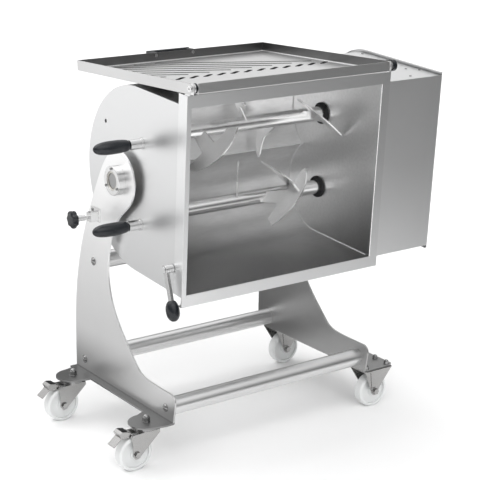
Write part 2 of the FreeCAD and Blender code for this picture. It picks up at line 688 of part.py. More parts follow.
def bridge():
    """Closed box between bowl and housing, clear of the stand plate that runs between them."""
    x0, x1 = WALL_R + RIGHT_WALL_T, GAP_X1
    front, t = -MOUTH + RIM_T, BRIDGE_T

    def region(inset):
        lo, hi = MID - HOUSE_HALF + inset, MID + HOUSE_HALF - inset
        tall = box(x0, x1, front + inset, BRIDGE_Y - inset, lo, hi)
        return tall.fuse(box(x0, x1, front + inset, -inset, BRIDGE_TOP_Z + inset, hi))

    body = region(0).removeSplitter().cut(region(t))
    clear = box(GAP_X1 - RIM_T - 0.05, GAP_X1 + 1, front - 1, -MOUTH + RIM_DEPTH + 0.05,
                MID - HOUSE_HALF - 1, MID + HOUSE_HALF + 1)
    SHAPES["bridge_frame"] = tip(body.cut(clear))


def trunnions():
    flange_x = -(PLATE_OUT - PLATE_T - 4) + 0.5
    left = fuse([rod(PIVOT_R - 3, flange_x, COVER_X, 0, 0),
                 rod(JOURNAL_R, -PLATE_OUT - PIVOT_OUT + 4, flange_x, 0, 0)])
    left = soften(left, 1.5, lambda e: abs(e.BoundBox.XMax + PLATE_OUT + PIVOT_OUT - 4) < 1e-3)
    SHAPES["trunnion_left"] = tip(left)
    x0 = WALL_R + RIGHT_WALL_T
    right = fuse([rod(PIVOT_R - 3, x0, x0 + 3.5, 0, 0), rod(JOURNAL_R, x0 + 3.5, GAP_X1, 0, 0)])
    SHAPES["trunnion_right"] = tip(right)


def bearings_and_seals():
    bearings, seals = [], []
    for side in (1, -1):
        z = MID + side * SHAFT_HALF
        bearings.append(ring(BEARING_R, NECK_R + BEARING_FIT, COVER_X + WALL_T + 0.2,
                             WALL_L - WALL_T - 0.2, SHAFT_Y, z))
        bearings.append(ring(BEARING_R, NECK_R + BEARING_FIT, GAP_X1 + WALL_T, GEAR_X - 2,
                             SHAFT_Y, z))
        seals.append(seal(WALL_L, 1, z))
        seals.append(seal(WALL_R, -1, z))
    SHAPES["shaft_bearings"] = tip(group(bearings))
    SHAPES["shaft_seals"] = tip(group(seals))


def seal(x, side, z):
    """Stepped sealing ring on the inner face of an end wall."""
    a, b = sorted((x, x + side * SEAL_T))
    body = ring(SEAL_R, SHAFT_R + 0.08, a, b, SHAFT_Y, z)
    lip_x = x + side * SEAL_T
    return soften(body, 2.5, lambda e: abs(e.BoundBox.XMin - lip_x) < 1e-3 and
                  abs(e.BoundBox.XMax - lip_x) < 1e-3 and e.BoundBox.YLength > 2 * SEAL_R - 1)


def sickle(blunt, point, inner):
    """Sickle blade seen along the shaft: wide at its blunt end, thin at its point, with its arm."""
    def at(r, deg):
        a = math.radians(deg)
        return (-r * math.cos(a), r * math.sin(a))

    mid = (blunt + point) / 2
    way = math.copysign(1, point - blunt)
    steps = 10
    rim, back = [], []
    for k in range(steps + 1):
        rim.append(at(BLADE_R, blunt + (point - blunt) * k / steps))
        u = 1 - 2 * k / steps
        end = BLADE_R - (8 if u > 0 else 27)
        back.append(at(inner + (end - inner) * abs(u) ** 1.6, point + (blunt - point) * k / steps))
    arm = [at(SHAFT_R - 6, mid - 60 * way), at(inner + 8, mid - 15 * way),
           at(inner + 8, mid + 15 * way), at(SHAFT_R - 6, mid + 60 * way)]
    faces = [Part.Face(Part.makePolygon([vec(0, y, z) for y, z in pts + pts[:1]]))
             for pts in (rim + back, arm)]
    return faces[0].fuse(faces[1]).removeSplitter()


def slanted_blade(x, z, blunt, point, inner, lean_out, lean_up):
    """A flat sickle plate set askew on the shaft: x grows by lean_out and lean_up."""
    outline = sickle(blunt, point, inner)
    reach = 2.4 * BLADE_R
    prism = outline.extrude(vec(2 * reach, 0, 0))
    prism.translate(vec(x - reach, SHAFT_Y, z))
    normal = vec(1, lean_out, -lean_up)
    normal.normalize()
    slab = Part.makeBox(2 * reach, 2 * reach, BLADE_T)
    slab.translate(vec(-reach, -reach, -BLADE_T / 2))
    spin = FreeCAD.Rotation(vec(0, 0, 1), normal)
    slab.Placement = FreeCAD.Placement(vec(x, SHAFT_Y, z), spin).multiply(slab.Placement)
    blade = prism.common(slab)
    core = rod(SHAFT_R + 0.02, x - reach, x + reach, SHAFT_Y, z)
    return max(blade.cut(core).Solids, key=lambda s: s.Volume)


def stepped_shaft(z):
    return fuse([rod(SHAFT_R, WALL_L + 1, WALL_R - 1, SHAFT_Y, z),
                 rod(NECK_R, COVER_X + 4, WALL_L + 1, SHAFT_Y, z),
                 rod(NECK_R, WALL_R - 1, SHAFT_END, SHAFT_Y, z)])


def paddle_shafts():
    """Each blade: place, angles of its blunt end and its point, inner radius and both slants."""
    upper = [(-115, 14, -84, 62, 0.44, 0.50), (52, 42, 118, 60, -0.20, -0.62),
             (168, 186, 262, 62, -0.30, 0.55), (WALL_R - 59, -22, 44, 66, 0.0, -1.25)]
    lower = [(-190, 226, 150, 62, 0.30, -0.60), (30, 66, 104, 60, -0.75, 0.0),
             (105, -31, 53, 62, 0.44, 1.00), (240, 36, 84, 64, 0.0, -1.25)]
    for tag, side, rows in (("upper", 1, upper), ("lower", -1, lower)):
        z = MID + side * SHAFT_HALF
        made = [slanted_blade(x, z, a, b, r, out, up) for x, a, b, r, out, up in rows]
        SHAPES["paddle_shaft_" + tag] = tip(group([stepped_shaft(z)] + made))


def gear(teeth, phase, x, y, z, bore):
    """Spur gear: three points on each flank, phase is the angle of one tooth's middle."""
    pitch = GEAR_M * teeth / 2
    half = (math.pi * GEAR_M / 2 - BACKLASH / 2) / 2 / pitch
    slope = math.tan(math.radians(20))
    base = pitch * math.cos(math.radians(20))
    inv_pitch = slope - math.radians(20)
    pts = []
    root, top = pitch - 1.25 * GEAR_M, pitch + GEAR_M
    radii = [max(base, root + 0.6), pitch, top]
    for k in range(teeth):
        centre = phase + 2 * math.pi * k / teeth
        left, right = [], []
        for r in radii:
            tilt = math.acos(min(1.0, base / r))
            a = half + inv_pitch - (math.tan(tilt) - tilt)
            left.append((r, centre - a))
            right.append((r, centre + a))
        foot = half + inv_pitch
        pts += [(root, centre - foot)] + left + right[::-1] + [(root, centre + foot)]
    outline = [(y - r * math.cos(a), z + r * math.sin(a)) for r, a in pts]
    body = prism_x(outline, x, x + GEAR_W)
    return body.cut(rod(bore, x - 1, x + GEAR_W + 1, y, z))


def drive():
    """Both shaft gears, the pinion between them and the gearmotor behind."""
    centre = GEAR_M * (GEAR_TEETH_COUNT + PINION_TEETH_COUNT) / 2
    offset = math.sqrt(centre ** 2 - SHAFT_HALF ** 2)
    y_pin = SHAFT_Y - offset
    r_g, r_p = GEAR_M * GEAR_TEETH_COUNT / 2, GEAR_M * PINION_TEETH_COUNT / 2
    to_pin_up = math.atan2(-SHAFT_HALF, offset)
    to_pin_low = math.atan2(SHAFT_HALF, offset)
    pin_phase = to_pin_up + math.pi + math.pi / PINION_TEETH_COUNT
    toward_low = to_pin_low + math.pi
    step = 2 * math.pi / PINION_TEETH_COUNT
    gap = pin_phase + step / 2
    shift = (gap - toward_low + step / 2) % step - step / 2
    low_phase = to_pin_low - shift * r_p / r_g
    for tag, side, phase in (("upper", 1, to_pin_up), ("lower", -1, low_phase)):
        z = MID + side * SHAFT_HALF
        body = gear(GEAR_TEETH_COUNT, phase, GEAR_X, SHAFT_Y, z, NECK_R + 0.02)
        hub = ring(NECK_R + 9, NECK_R + 0.02, GEAR_X + GEAR_W, SHAFT_END, SHAFT_Y, z)
        for k in range(5):
            a = math.radians(72 * k + 18)
            body = body.cut(rod(13, GEAR_X - 1, GEAR_X + GEAR_W + 1, SHAFT_Y + 48 * math.cos(a),
                                z + 48 * math.sin(a)))
        SHAPES["gear_" + tag] = tip(fuse([body, hub]))
    pinion = gear(PINION_TEETH_COUNT, pin_phase, GEAR_X, y_pin, MID, 5)
    x_plate = SHAFT_END + 3
    x_box = x_plate + 5
    stub = fuse([rod(12, GEAR_X + GEAR_W, x_box - 1, y_pin, MID),
                 rod(5, GEAR_X, GEAR_X + GEAR_W, y_pin, MID)])
    SHAPES["drive_pinion"] = tip(fuse([pinion, stub]))
    bracket = box(x_plate, x_box, y_pin - 89, y_pin + 151, MID - 72, MID + 72)
    bracket = bracket.cut(rod(12.3, x_plate - 6, x_box + 9, y_pin, MID))
    posts = [rod(8, GAP_X1 + WALL_T, x_plate, y_pin + dy, MID + dz)
             for dy in (-74, 136) for dz in (-60, 60)]
    box_body = box(x_box, x_box + 54, y_pin - 62, y_pin + 62, MID - 62, MID + 62)
    box_body = soften(box_body, 12, lambda e: abs(e.BoundBox.XLength - 54) < 1e-3)
    box_body = box_body.cut(rod(14, x_box - 6, x_box + 19, y_pin, MID))
    SHAPES["gearbox"] = tip(fuse([bracket, box_body] + posts))
    flange, end = x_box + 54, HOUSE_X1 - 9
    motor = [rod(56, flange, end - 10, y_pin, MID), rod(50, end - 10, end, y_pin, MID)]
    motor += [box(flange + 3, end - 14, y_pin - 24, y_pin + 24, MID + 50, MID + 84)]
    SHAPES["motor"] = tip(fuse(motor))


def house_profile(half, front, back, radius):
    """Outline of the housing in the bowl frame: square front, rounded back corners."""
    lo, hi = MID - half, MID + half
    x = 0.0
    c = radius * (1 - math.sqrt(0.5))
    lines = [Part.makeLine(vec(x, back - radius, lo), vec(x, front, lo)),
             Part.makeLine(vec(x, front, lo), vec(x, front, hi)),
             Part.makeLine(vec(x, front, hi), vec(x, back - radius, hi)),
             Part.Arc(vec(x, back - radius, hi), vec(x, back - c, hi - c),
                      vec(x, back, hi - radius)).toShape(),
             Part.makeLine(vec(x, back, hi - radius), vec(x, back, lo + radius)),
             Part.Arc(vec(x, back, lo + radius), vec(x, back - c, lo + c),
                      vec(x, back - radius, lo)).toShape()]
    return Part.Face(Part.Wire(Part.__sortEdges__(lines)))


def house_slab(grow, x0, x1):
    face = house_profile(HOUSE_HALF + grow, HOUSE_FRONT - grow, HOUSE_BACK + grow, HOUSE_ROUND + grow)
    slab = face.extrude(vec(x1 - x0, 0, 0))
    slab.translate(vec(x0, 0, 0))
    return slab


def housing():
    wall = house_slab(0, GAP_X1, GAP_X1 + WALL_T)
    wall = shaft_holes(wall, NECK_R + 1, GAP_X1 - 5, GAP_X1 + 9)
    SHAPES["housing_wall"] = tip(wall)
    shell = house_slab(0, GAP_X1 + WALL_T, HOUSE_X1).cut(house_slab(-2, GAP_X1, HOUSE_X1 + 9))
    low, high = MID - HOUSE_HALF, MID + HOUSE_HALF
    nose = box(HOUSE_X1 - 1, COVER_X1 - 2, HOUSE_FRONT, HOUSE_FRONT + 2, low, high)
    inlet_x, inlet_z = (GAP_X1 + COVER_X1) / 2 + 30, MID - 40
    shell = shell.cut(Part.makeCylinder(9, 20, vec(inlet_x, HOUSE_BACK - 10, inlet_z), vec(0, 1, 0)))
    SHAPES["housing_shell"] = tip(fuse([shell, nose]))
    proud = house_slab(COVER_LIP, COVER_X0, COVER_X1)
    proud = proud.cut(house_slab(COVER_LIP - 2, COVER_X0 - 1, COVER_X1 - 2))
    behind = box(GAP_X1, 2 * COVER_X1, HOUSE_FRONT, 2 * HOUSE_BACK,
                 MID - 2 * HOUSE_HALF, MID + 2 * HOUSE_HALF)
    seat = house_slab(-2.05, COVER_X0 - 12, COVER_X1 - 1).cut(house_slab(-3.5, COVER_X0 - 13, COVER_X1 - 2))
    cover = fuse([proud.common(behind), seat])
    SHAPES["housing_cover"] = tip(soften(cover, 1, lambda e: abs(e.BoundBox.XMin - COVER_X1) < 1e-3))
    gland = [Part.makeCylinder(8.9, 6, vec(inlet_x, HOUSE_BACK - 5, inlet_z), vec(0, 1, 0)),
             Part.makeCylinder(14, 5, vec(inlet_x, HOUSE_BACK, inlet_z), vec(0, 1, 0)),
             Part.makeCylinder(11.5, 12, vec(inlet_x, HOUSE_BACK + 5, inlet_z), vec(0, 1, 0))]
    body = fuse(gland).cut(Part.makeCylinder(5, 40, vec(inlet_x, HOUSE_BACK - 9, inlet_z), vec(0, 1, 0)))
    SHAPES["cable_gland"] = tip(body)


def sheet_screws():
    """Screw heads on the top of the housing, placed from its far edge."""
    top = MID + HOUSE_HALF
    screws = [pin(3.6, HOUSE_X1 - back, y, top, top + 1.8)
              for back, y in ((16, 30), (8, -75), (8, -218), (34, -189), (86, -267))]
    SHAPES["sheet_screws"] = tip(group(screws))


# Lid, drawn level with its hinge axis on the origin, then set at its rest angle

def place_lid(shape):
    set_down = turned(shape, vec(0, 0, 0), vec(1, 0, 0), LID_ANGLE)
    return tip(moved(set_down, 0, HINGE_Y, HINGE_Z))


def slot(length, width, x, y, degrees, z0, z1):
    """A round-ended slot cutter."""
    body = fuse([box(0, length, -width / 2, width / 2, z0, z1),
                 pin(width / 2, 0, 0, z0, z1), pin(width / 2, length, 0, z0, z1)])
    return moved(turned(body, vec(0, 0, 0), vec(0, 0, 1), degrees), x, y, 0)


def lid_cutters():
    """Short slots near the hinge and long slanted ones behind them."""
    cuts = []
    lo, hi = LID_FLOOR - 1, LID_FLOOR + LID_T + 1
    first = LID_IN0 + 96
    for k in range(SLOT_COUNT):
        cuts.append(slot(SLOT_LEN, SLOT_W, first + k * SLOT_PITCH, 236, 35, lo, hi))
    for k in range(SLAT_COUNT):
        start = vec(LID_X1 - 40 - k * SLAT_PITCH, 300, 0)
        cuts.append(slat_slot(start, lo, hi))
    return cuts


def slat_slot(start, lo, hi):
    """One long slot from its right-hand end towards the left-rear corner of the tray."""
    slope = math.radians(145)
    run_x = (start.x - (LID_X0 + 34)) / -math.cos(slope)
    run_y = (LID_BACK - 34 - start.y) / math.sin(slope)
    return slot(min(run_x, run_y), SLAT_W, start.x, start.y, 145, lo, hi)


def lid_tray():
    t = LID_T
    walls = [box(LID_X0, LID_X0 + t, LID_FRONT, LID_BACK, LID_FLOOR, LID_TOP),
             box(LID_X1 - t, LID_X1, LID_FRONT, LID_BACK, LID_FLOOR, LID_TOP),
             box(LID_X0, LID_X1, LID_BACK - t, LID_BACK, LID_FLOOR, LID_TOP),
             box(LID_IN0, LID_IN1, LID_FRONT, LID_FRONT + t, LID_FLOOR, LID_TOP)]
    floor = fuse([box(LID_X0, LID_X1, LID_NOTCH, LID_BACK, LID_FLOOR, LID_FLOOR + t),
                  box(LID_IN0, LID_IN1, LID_FRONT, LID_NOTCH, LID_FLOOR, LID_FLOOR + t)])
    for cut in lid_cutters():
        floor = floor.cut(cut)
    tray = fuse([floor] + walls)
    tray = soften(tray, 4, lid_bend)
    tray = tray.cut(rod(ROD_R + FIT, LID_X0 - 1, LID_X1 + 1, 0, 0))
    return tray


def lid_bend(edge):
    b = edge.BoundBox
    low = abs(b.ZMin - LID_FLOOR) < 1e-3 and abs(b.ZMax - LID_FLOOR) < 1e-3
    outer = abs(b.YMin - LID_FRONT) < 1e-3 and abs(b.YMax - LID_FRONT) < 1e-3
    return low and outer and b.XLength > 100


def lid():
    bar_y, half, mid = LID_BACK + 27, 72, (LID_X0 + LID_X1) / 2
    bow = fuse([box(mid - half, mid + half, bar_y, bar_y + 13, -3, 15),
                box(mid - half, mid - half + 16, LID_BACK, bar_y + 1, -3, 13),
                box(mid + half - 16, mid + half, LID_BACK, bar_y + 1, -3, 13)])
    bow = soften(bow, 4, lambda e: e.BoundBox.XLength > half and e.BoundBox.YMin > bar_y - 1)
    screws = []
    tray = lid_tray()
    for x in (mid - half + 8, mid + half - 8):
        bow = bow.cut(cross(3.1, x, LID_BACK - 1, LID_BACK + 15, 5))
        tray = tray.cut(cross(3.1, x, LID_BACK - 9, LID_BACK + 1, 5))
        screws.append(fuse([cross(3.05, x, LID_BACK - LID_T, LID_BACK + 14, 5),
                            cross(5.5, x, LID_BACK - LID_T - 3.5, LID_BACK - LID_T, 5)]))
    SHAPES["lid_tray"] = place_lid(tray)
    SHAPES["lid_handle"] = place_lid(bow)
    SHAPES["lid_handle_screws"] = place_lid(group(screws))


def hinge():
    """The rod through the ears, the knob and washers on it, and the pads the lid lies on."""
    cap = rod(9, LID_X0 - 6, LID_X0 - 0.4, HINGE_Y, HINGE_Z)
    cap = cap.cut(rod(3, LID_X0 - 7, LID_X0 - 3, HINGE_Y, HINGE_Z))
    bar = rod(ROD_R, LID_X0 - 3, RIM_RIGHT - 6, HINGE_Y, HINGE_Z)
    SHAPES["hinge_rod"] = tip(fuse([bar, cap]))
    washer = ring(13, ROD_R + 0.02, LID_X0 + 7.5, LID_IN0 - 1.5, HINGE_Y, HINGE_Z)
    knob = ring(16, ROD_R + 0.02, LID_X1 + 5.5, RIM_RIGHT - 5, HINGE_Y, HINGE_Z)
    knob = soften(knob, 3,
                  lambda e: e.BoundBox.YLength > 31 and abs(e.BoundBox.XMin - RIM_RIGHT + 5) < 1e-3)
    SHAPES["hinge_knobs"] = tip(group([washer, knob]))
    top = MID + JACKET_R
    pads = [box(x - 20, x + 20, JACKET_Y - 12, JACKET_Y, top, top + PAD_TOP) for x in (-260, 260)]
    SHAPES["lid_rest_pads"] = tip(group(pads))


def latch():
    """Hanging lever at the front of the left end, with its oval knob."""
    x0, x1 = -344.0, COVER_X - 1
    arm = fuse([rod(12, x0, x1, 0, 0),
                box(x0 + 2, x0 + 10, -8, 8, -LATCH_ARM, 0)])
    arm = arm.fuse(pin(4, x0 + 6, 0, -LATCH_ARM - 30, -LATCH_ARM + 1)).removeSplitter()
    arm = arm.cut(rod(5 + FIT, x0 - 1, x1 + 1, 0, 0))
    lean = lambda s: tip(moved(turned(s, vec(0, 0, 0), vec(1, 0, 0), -LATCH_LEAN), 0, LATCH_Y, LATCH_Z))
    SHAPES["latch_lever"] = lean(arm)
    profile = [(0, 4.02), (0, 8), (5, 13), (14, 17), (28, 18.5), (42, 16.5), (51, 11), (56, 4), (56, 0),
               (31, 0), (31, 4.02)]
    pts = [vec(x0 + 6 + r, 0, -LATCH_ARM - a) for a, r in profile]
    knob = Part.Face(Part.makePolygon(pts + pts[:1])).revolve(
        vec(x0 + 6, 0, 0), vec(0, 0, 1), 360)
    SHAPES["latch_knob"] = lean(knob)
    stud = fuse([rod(5, x0 - 4, COVER_X, 0, 0), rod(8, x0 - 4, x0 - 0.4, 0, 0)])
    SHAPES["end_cover_left"] = SHAPES["end_cover_left"].fuse(lean(stud)).removeSplitter()


def grips():
    """The two tilt handles: turned ferrules and oval grips."""
    ferrules, handles = [], []
    for z in (GRIP_TOP_Z, GRIP_LOW_Z):
        x0 = COVER_X - FERRULE_LEN
        ferrules.append(fuse([rod(FERRULE_R, x0, COVER_X - 6, GRIP_Y, z),
                              rod(FERRULE_R + 2, COVER_X - 6, COVER_X, GRIP_Y, z),
                              rod(5, x0 - GRIP_LEN + 12, x0, GRIP_Y, z)]))
        profile = [(0, 5.02), (0, 12), (-8, 15.5), (-30, GRIP_R), (-62, GRIP_R + 0.5),
                   (-88, GRIP_R - 2), (-102, 11), (-GRIP_LEN, 5), (-GRIP_LEN, 0),
                   (-GRIP_LEN + 11.5, 0), (-GRIP_LEN + 11.5, 5.02)]
        handles.append(turned_solid(profile, x0, GRIP_Y, z))
    SHAPES["grip_ferrules"] = tip(group(ferrules))
    SHAPES["grips"] = tip(group(handles))


def main():
    stand_plates()
    cross_tubes()
    SHAPES["stand_screws"] = group(pivots() + index_lock())
    casters()
    bowl_shell()
    mouth_rim()
    bridge()
    trunnions()
    bearings_and_seals()
    paddle_shafts()
    drive()
    housing()
    sheet_screws()
    lid()
    hinge()
    latch()
    grips()
    bounds = FreeCAD.BoundBox()
    for shape in SHAPES.values():
        bounds.add(shape.optimalBoundingBox(True, False))
    shift = vec(-bounds.Center.x, -bounds.Center.y, -bounds.ZMin)
    print("size", [round(v, 2) for v in (bounds.XLength, bounds.YLength, bounds.ZLength)])
    print("shift", [round(v, 3) for v in shift])
    os.makedirs(OUT, exist_ok=True)
    for name, shape in SHAPES.items():
        shape.translate(shift)
        shape.exportStep(os.path.join(OUT, name + ".step"))
        solids = shape.Solids
        print(name, len(solids), "valid" if shape.isValid() else "NOT VALID",
              round(sum(s.Volume for s in solids) / 1000.0, 1), "cm3")
    print(len(SHAPES), "nodes")


main()
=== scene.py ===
# %% [markdown]
# # A tilting meat mixer, dressed for a studio picture
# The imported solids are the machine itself: stand, bowl, lid, paddles and casters, each on the
# body it moves with. This lesson gives them their finishes and adds the trim that the solids
# leave plain: moulded grips and knobs, pressed slot edges, weld seams, the polished edge of
# the mouth and the treads of the brakes. Everything is in metres, in the solids' own frame.

# %% Open the frame
import bpy
import bmesh
import math
from mathutils import Matrix, Vector


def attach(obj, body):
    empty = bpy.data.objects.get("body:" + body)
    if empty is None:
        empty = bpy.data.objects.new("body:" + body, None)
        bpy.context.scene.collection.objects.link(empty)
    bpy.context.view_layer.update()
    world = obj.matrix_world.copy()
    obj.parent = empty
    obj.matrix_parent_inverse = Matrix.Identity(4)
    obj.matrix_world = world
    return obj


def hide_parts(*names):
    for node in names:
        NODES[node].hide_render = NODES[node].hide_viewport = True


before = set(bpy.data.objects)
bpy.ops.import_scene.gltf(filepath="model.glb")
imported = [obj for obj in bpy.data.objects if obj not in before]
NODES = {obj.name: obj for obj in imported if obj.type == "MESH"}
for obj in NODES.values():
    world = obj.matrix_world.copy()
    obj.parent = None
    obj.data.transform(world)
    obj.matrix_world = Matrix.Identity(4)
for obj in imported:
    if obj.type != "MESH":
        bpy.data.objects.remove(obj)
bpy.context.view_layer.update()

# %% [markdown]
# ## Where things are
# The bowl was drawn upright with the tilt axis as origin and then tipped a few degrees. The
# same two steps are repeated here, so that a detail can be placed with the bowl's own numbers.
# The lid has its own matrix, because it leans on a rod at the top of the mouth.

# %% Places on the bowl
MM = 0.001
SHIFT = Vector((-0.0245, 0.029244, 0.0))     # from the drawing's origin to the frame's
PIVOT_Z = 0.756                              # tilt axis over the floor
TILT = math.radians(4.14)
BOWL = Matrix.Translation(SHIFT + Vector((0, 0, PIVOT_Z))) @ Matrix.Rotation(TILT, 4, "X")
HINGE_ROD = (0, -0.314, 0.320)               # from the tilt axis
LID_ANGLE = math.radians(-5.6)
LID = BOWL @ Matrix.Translation(HINGE_ROD) @ Matrix.Rotation(LID_ANGLE, 4, "X")
MID = 0.011                                  # middle plane of the bowl over the tilt axis
COVER_X = -0.318                             # face of the left cover
print("bowl axis at", [round(v, 4) for v in BOWL.translation])

# %% [markdown]
# ## The camera
# A long lens from the front left, a little above the bowl. Its place was worked out from the
# outline of the stand, the bowl and the lid in the photograph.

# %% Camera
AZIMUTH, ELEVATION, DISTANCE = math.radians(-34.97), math.radians(16.07), 4.0476
LOOK_AT = Vector((0.0658, 0.0, 0.5184)) + SHIFT
FOCAL_MM, SENSOR_MM, FARTHEST = 103.26, 36, 60
back = Vector((math.sin(AZIMUTH) * math.cos(ELEVATION),
               -math.cos(AZIMUTH) * math.cos(ELEVATION), math.sin(ELEVATION)))
lens = bpy.data.cameras.new("camera")
lens.lens = FOCAL_MM
lens.sensor_width = SENSOR_MM
lens.clip_end = FARTHEST
camera = bpy.data.objects.new("camera", lens)
bpy.context.scene.collection.objects.link(camera)
camera.location = LOOK_AT + back * DISTANCE
camera.rotation_mode = "QUATERNION"
camera.rotation_quaternion = (-back).to_track_quat("-Z", "Y")
bpy.context.scene.camera = camera
print("camera at", [round(v, 3) for v in camera.location])

# %% [markdown]
# ## Writing materials as sums
# A pattern is easier to read as arithmetic than as a list of wires. One class wraps a socket,
# and each operator adds the Math node that does the sum. Any other node comes from one method
# that takes the node's type, its settings and the values or links of its sockets.

# %% Shader arithmetic
class Sum:
    """A socket that can be added, subtracted, multiplied and turned into a mask."""

    def __init__(self, board, socket):
        self.board, self.socket = board, socket

    def _op(self, kind, a, b):
        return self.board.node("ShaderNodeMath", {"operation": kind}, {0: a, 1: b})

    def __add__(self, other): return self._op("ADD", self, other)
    def __radd__(self, other): return self._op("ADD", other, self)
    def __sub__(self, other): return self._op("SUBTRACT", self, other)
    def __rsub__(self, other): return self._op("SUBTRACT", other, self)
    def __mul__(self, other): return self._op("MULTIPLY", self, other)
    def __rmul__(self, other): return self._op("MULTIPLY", other, self)

    def above(self, low, high):
        """0 below low, 1 above high, smooth in between."""
        return self.board.node("ShaderNodeMapRange", {"interpolation_type": "SMOOTHSTEP"},
                               {0: self, 1: low, 2: high})


class Board:
    """A node tree that is wired by calling node()."""

    def __init__(self, tree):
        self.tree = tree

    def node(self, kind, settings, values, out=0):
        made = self.tree.nodes.new(kind)
        for key, value in settings.items():
            setattr(made, key, value)
        for key, value in values.items():
            if isinstance(value, Sum):
                self.tree.links.new(value.socket, made.inputs[key])
            else:
                made.inputs[key].default_value = value
        return Sum(self, made.outputs[out])

    def blend(self, amount, first, second):
        """The first colour where amount is 0, the second where it is 1."""
        return self.node("ShaderNodeMix", {"data_type": "RGBA"},
                         {0: amount, 6: first, 7: second}, 2)

    def axes(self, place):
        """The three parts of a vector."""
        split = self.node("ShaderNodeSeparateXYZ", {}, {0: place})
        return [Sum(self, part) for part in split.socket.node.outputs]


print("sums ready")

# %% [markdown]
# ## One material at a time
# A finish is a Principled shader whose colour, roughness and bump come from noise. The noise
# reads Object coordinates: every solid sits at the origin, so one pattern runs on over
# neighbouring sheets at the same scale. A Bevel node can round the light over sharp edges,
# which stands for the deburred edges of real sheet without a change to the mesh.

# %% Paint
class Paint(Board):
    """One material, built up node by node."""

    def __init__(self, name, **fixed):
        self.material = bpy.data.materials.new(name)
        self.material.use_nodes = True
        super().__init__(self.material.node_tree)
        self.shader = self.tree.nodes["Principled BSDF"]
        for key, value in fixed.items():
            title = key.replace("_", " ").title().replace("Ior", "IOR")
            self.shader.inputs[title].default_value = value
        self.place = self.node("ShaderNodeTexCoord", {}, {}, "Object")

    def noise(self, scale, stretch=(1, 1, 1), detail=3.0):
        """Soft random values; the higher the scale, the finer."""
        where = self.node("ShaderNodeMapping", {}, {"Vector": self.place, "Scale": stretch})
        return self.node("ShaderNodeTexNoise", {}, {"Vector": where, "Scale": scale,
                                                    "Detail": detail, "Roughness": 0.55})

    def grains(self, scale):
        """Distance to the nearest grain, for cast skins."""
        return self.node("ShaderNodeTexVoronoi", {}, {"Vector": self.place, "Scale": scale})

    def local(self, origin, turn):
        """Places measured from a point of the bowl or lid, turned back about x with it."""
        return self.node("ShaderNodeMapping", {"vector_type": "TEXTURE"},
                         {"Vector": self.place, "Location": origin, "Rotation": (turn, 0, 0)})

    def drive(self, **links):
        """Links results to the shader's sockets by name."""
        for key, value in links.items():
            self.tree.links.new(value.socket, self.shader.inputs[key.replace("_", " ").title()])

    def bump(self, height, strength, distance=0.0002, corner=0.0):
        """Raises the skin; a corner radius also rounds the light over sharp edges."""
        values = {"Strength": strength, "Distance": distance, "Height": height}
        if corner:
            values["Normal"] = self.node("ShaderNodeBevel", {"samples": 4}, {"Radius": corner})
        normal = self.node("ShaderNodeBump", {}, values)
        self.tree.links.new(normal.socket, self.shader.inputs["Normal"])


def grey(level, warm=0.0):
    """A grey; warm above 0 leans to yellow, below 0 to blue."""
    return (level * (1 + warm), level, level * (1 - warm), 1)


print("paint ready")

# %% [markdown]
# ## Floor and cards
# Blasted steel has hardly any colour of its own: it shows what stands around it. The floor is
# white paper. Cards stand out of view, as a photographer would set them: they are seen only
# in the metal, where the front panels need something grey to show. A card's grey changes
# along its own width, so that it has no hard edge in a reflection.

# %% Paper and cards
def plane(name, width, height, place, facing=None):
    """A flat sheet, lying down or turned to face a point."""
    x, y = width / 2, height / 2
    mesh = bpy.data.meshes.new(name)
    mesh.from_pydata([(-x, -y, 0), (x, -y, 0), (x, y, 0), (-x, y, 0)], [], [(0, 1, 2, 3)])
    thing = bpy.data.objects.new(name, mesh)
    bpy.context.scene.collection.objects.link(thing)
    thing.location = place
    if facing:
        thing.rotation_mode = "QUATERNION"
        thing.rotation_quaternion = (Vector(facing) - Vector(place)).to_track_quat("Z", "Y")
    return thing


def card(name, width, height, place, facing, fade, near, far):
    """A sheet that only shows in metal; its grey goes from near to far over fade."""
    sheet = plane(name, width, height, place, facing)
    paint = Paint(name, roughness=1.0, specular_ior_level=0.0, emission_strength=1.0)
    paint.shader.inputs["Base Color"].default_value = grey(0.0)
    across = paint.axes(paint.place)[0].above(*fade)
    paint.drive(Emission_Color=paint.blend(across, grey(near), grey(far)))
    sheet.data.materials.append(paint.material)
    sheet.visible_camera = sheet.visible_diffuse = sheet.visible_shadow = False
    sheet.visible_transmission = sheet.visible_volume_scatter = False
    return sheet


floor = plane("floor", 80, 80, (0, 0, 0))
paper = Paint("paper", roughness=0.95, specular_ior_level=0.0)
paper.drive(Base_Color=paper.blend(paper.noise(1.5), grey(0.925), grey(0.94)))
floor.data.materials.append(paper.material)
LIFT = 0.002                 # a card lies this far over the paper
card("right_floor_card", 30, 30, (15.2, -15.7, LIFT), None, (-14.9, -13.1), 0.84, 0.20)
card("rear_floor_card", 1.2, 1.7, (0.0, 1.2, LIFT), None, (-0.6, 0.6), 0.20, 0.16)
card("left_floor_card", 20, 20, (-10.65, 9.9, LIFT), None, (8.0, 9.9), 1.32, 0.54)
card("rear_card", 4.2, 1.1, (1.6, 2.0, 0.80), (1.6, 0.0, 0.80), (-2.0, 2.0), 0.10, 0.10)
print("floor and cards")

# %% [markdown]
# ## Light
# One wide lamp overhead gives the soft shadow on the paper. A second one from the front left
# fills the stand and the knobs, and is hidden from reflections so that it leaves no spot on
# the steel. The sky does the rest: its brightness is a sum of soft regions, brighter above,
# behind and in a window at the front, and darker to the front right.

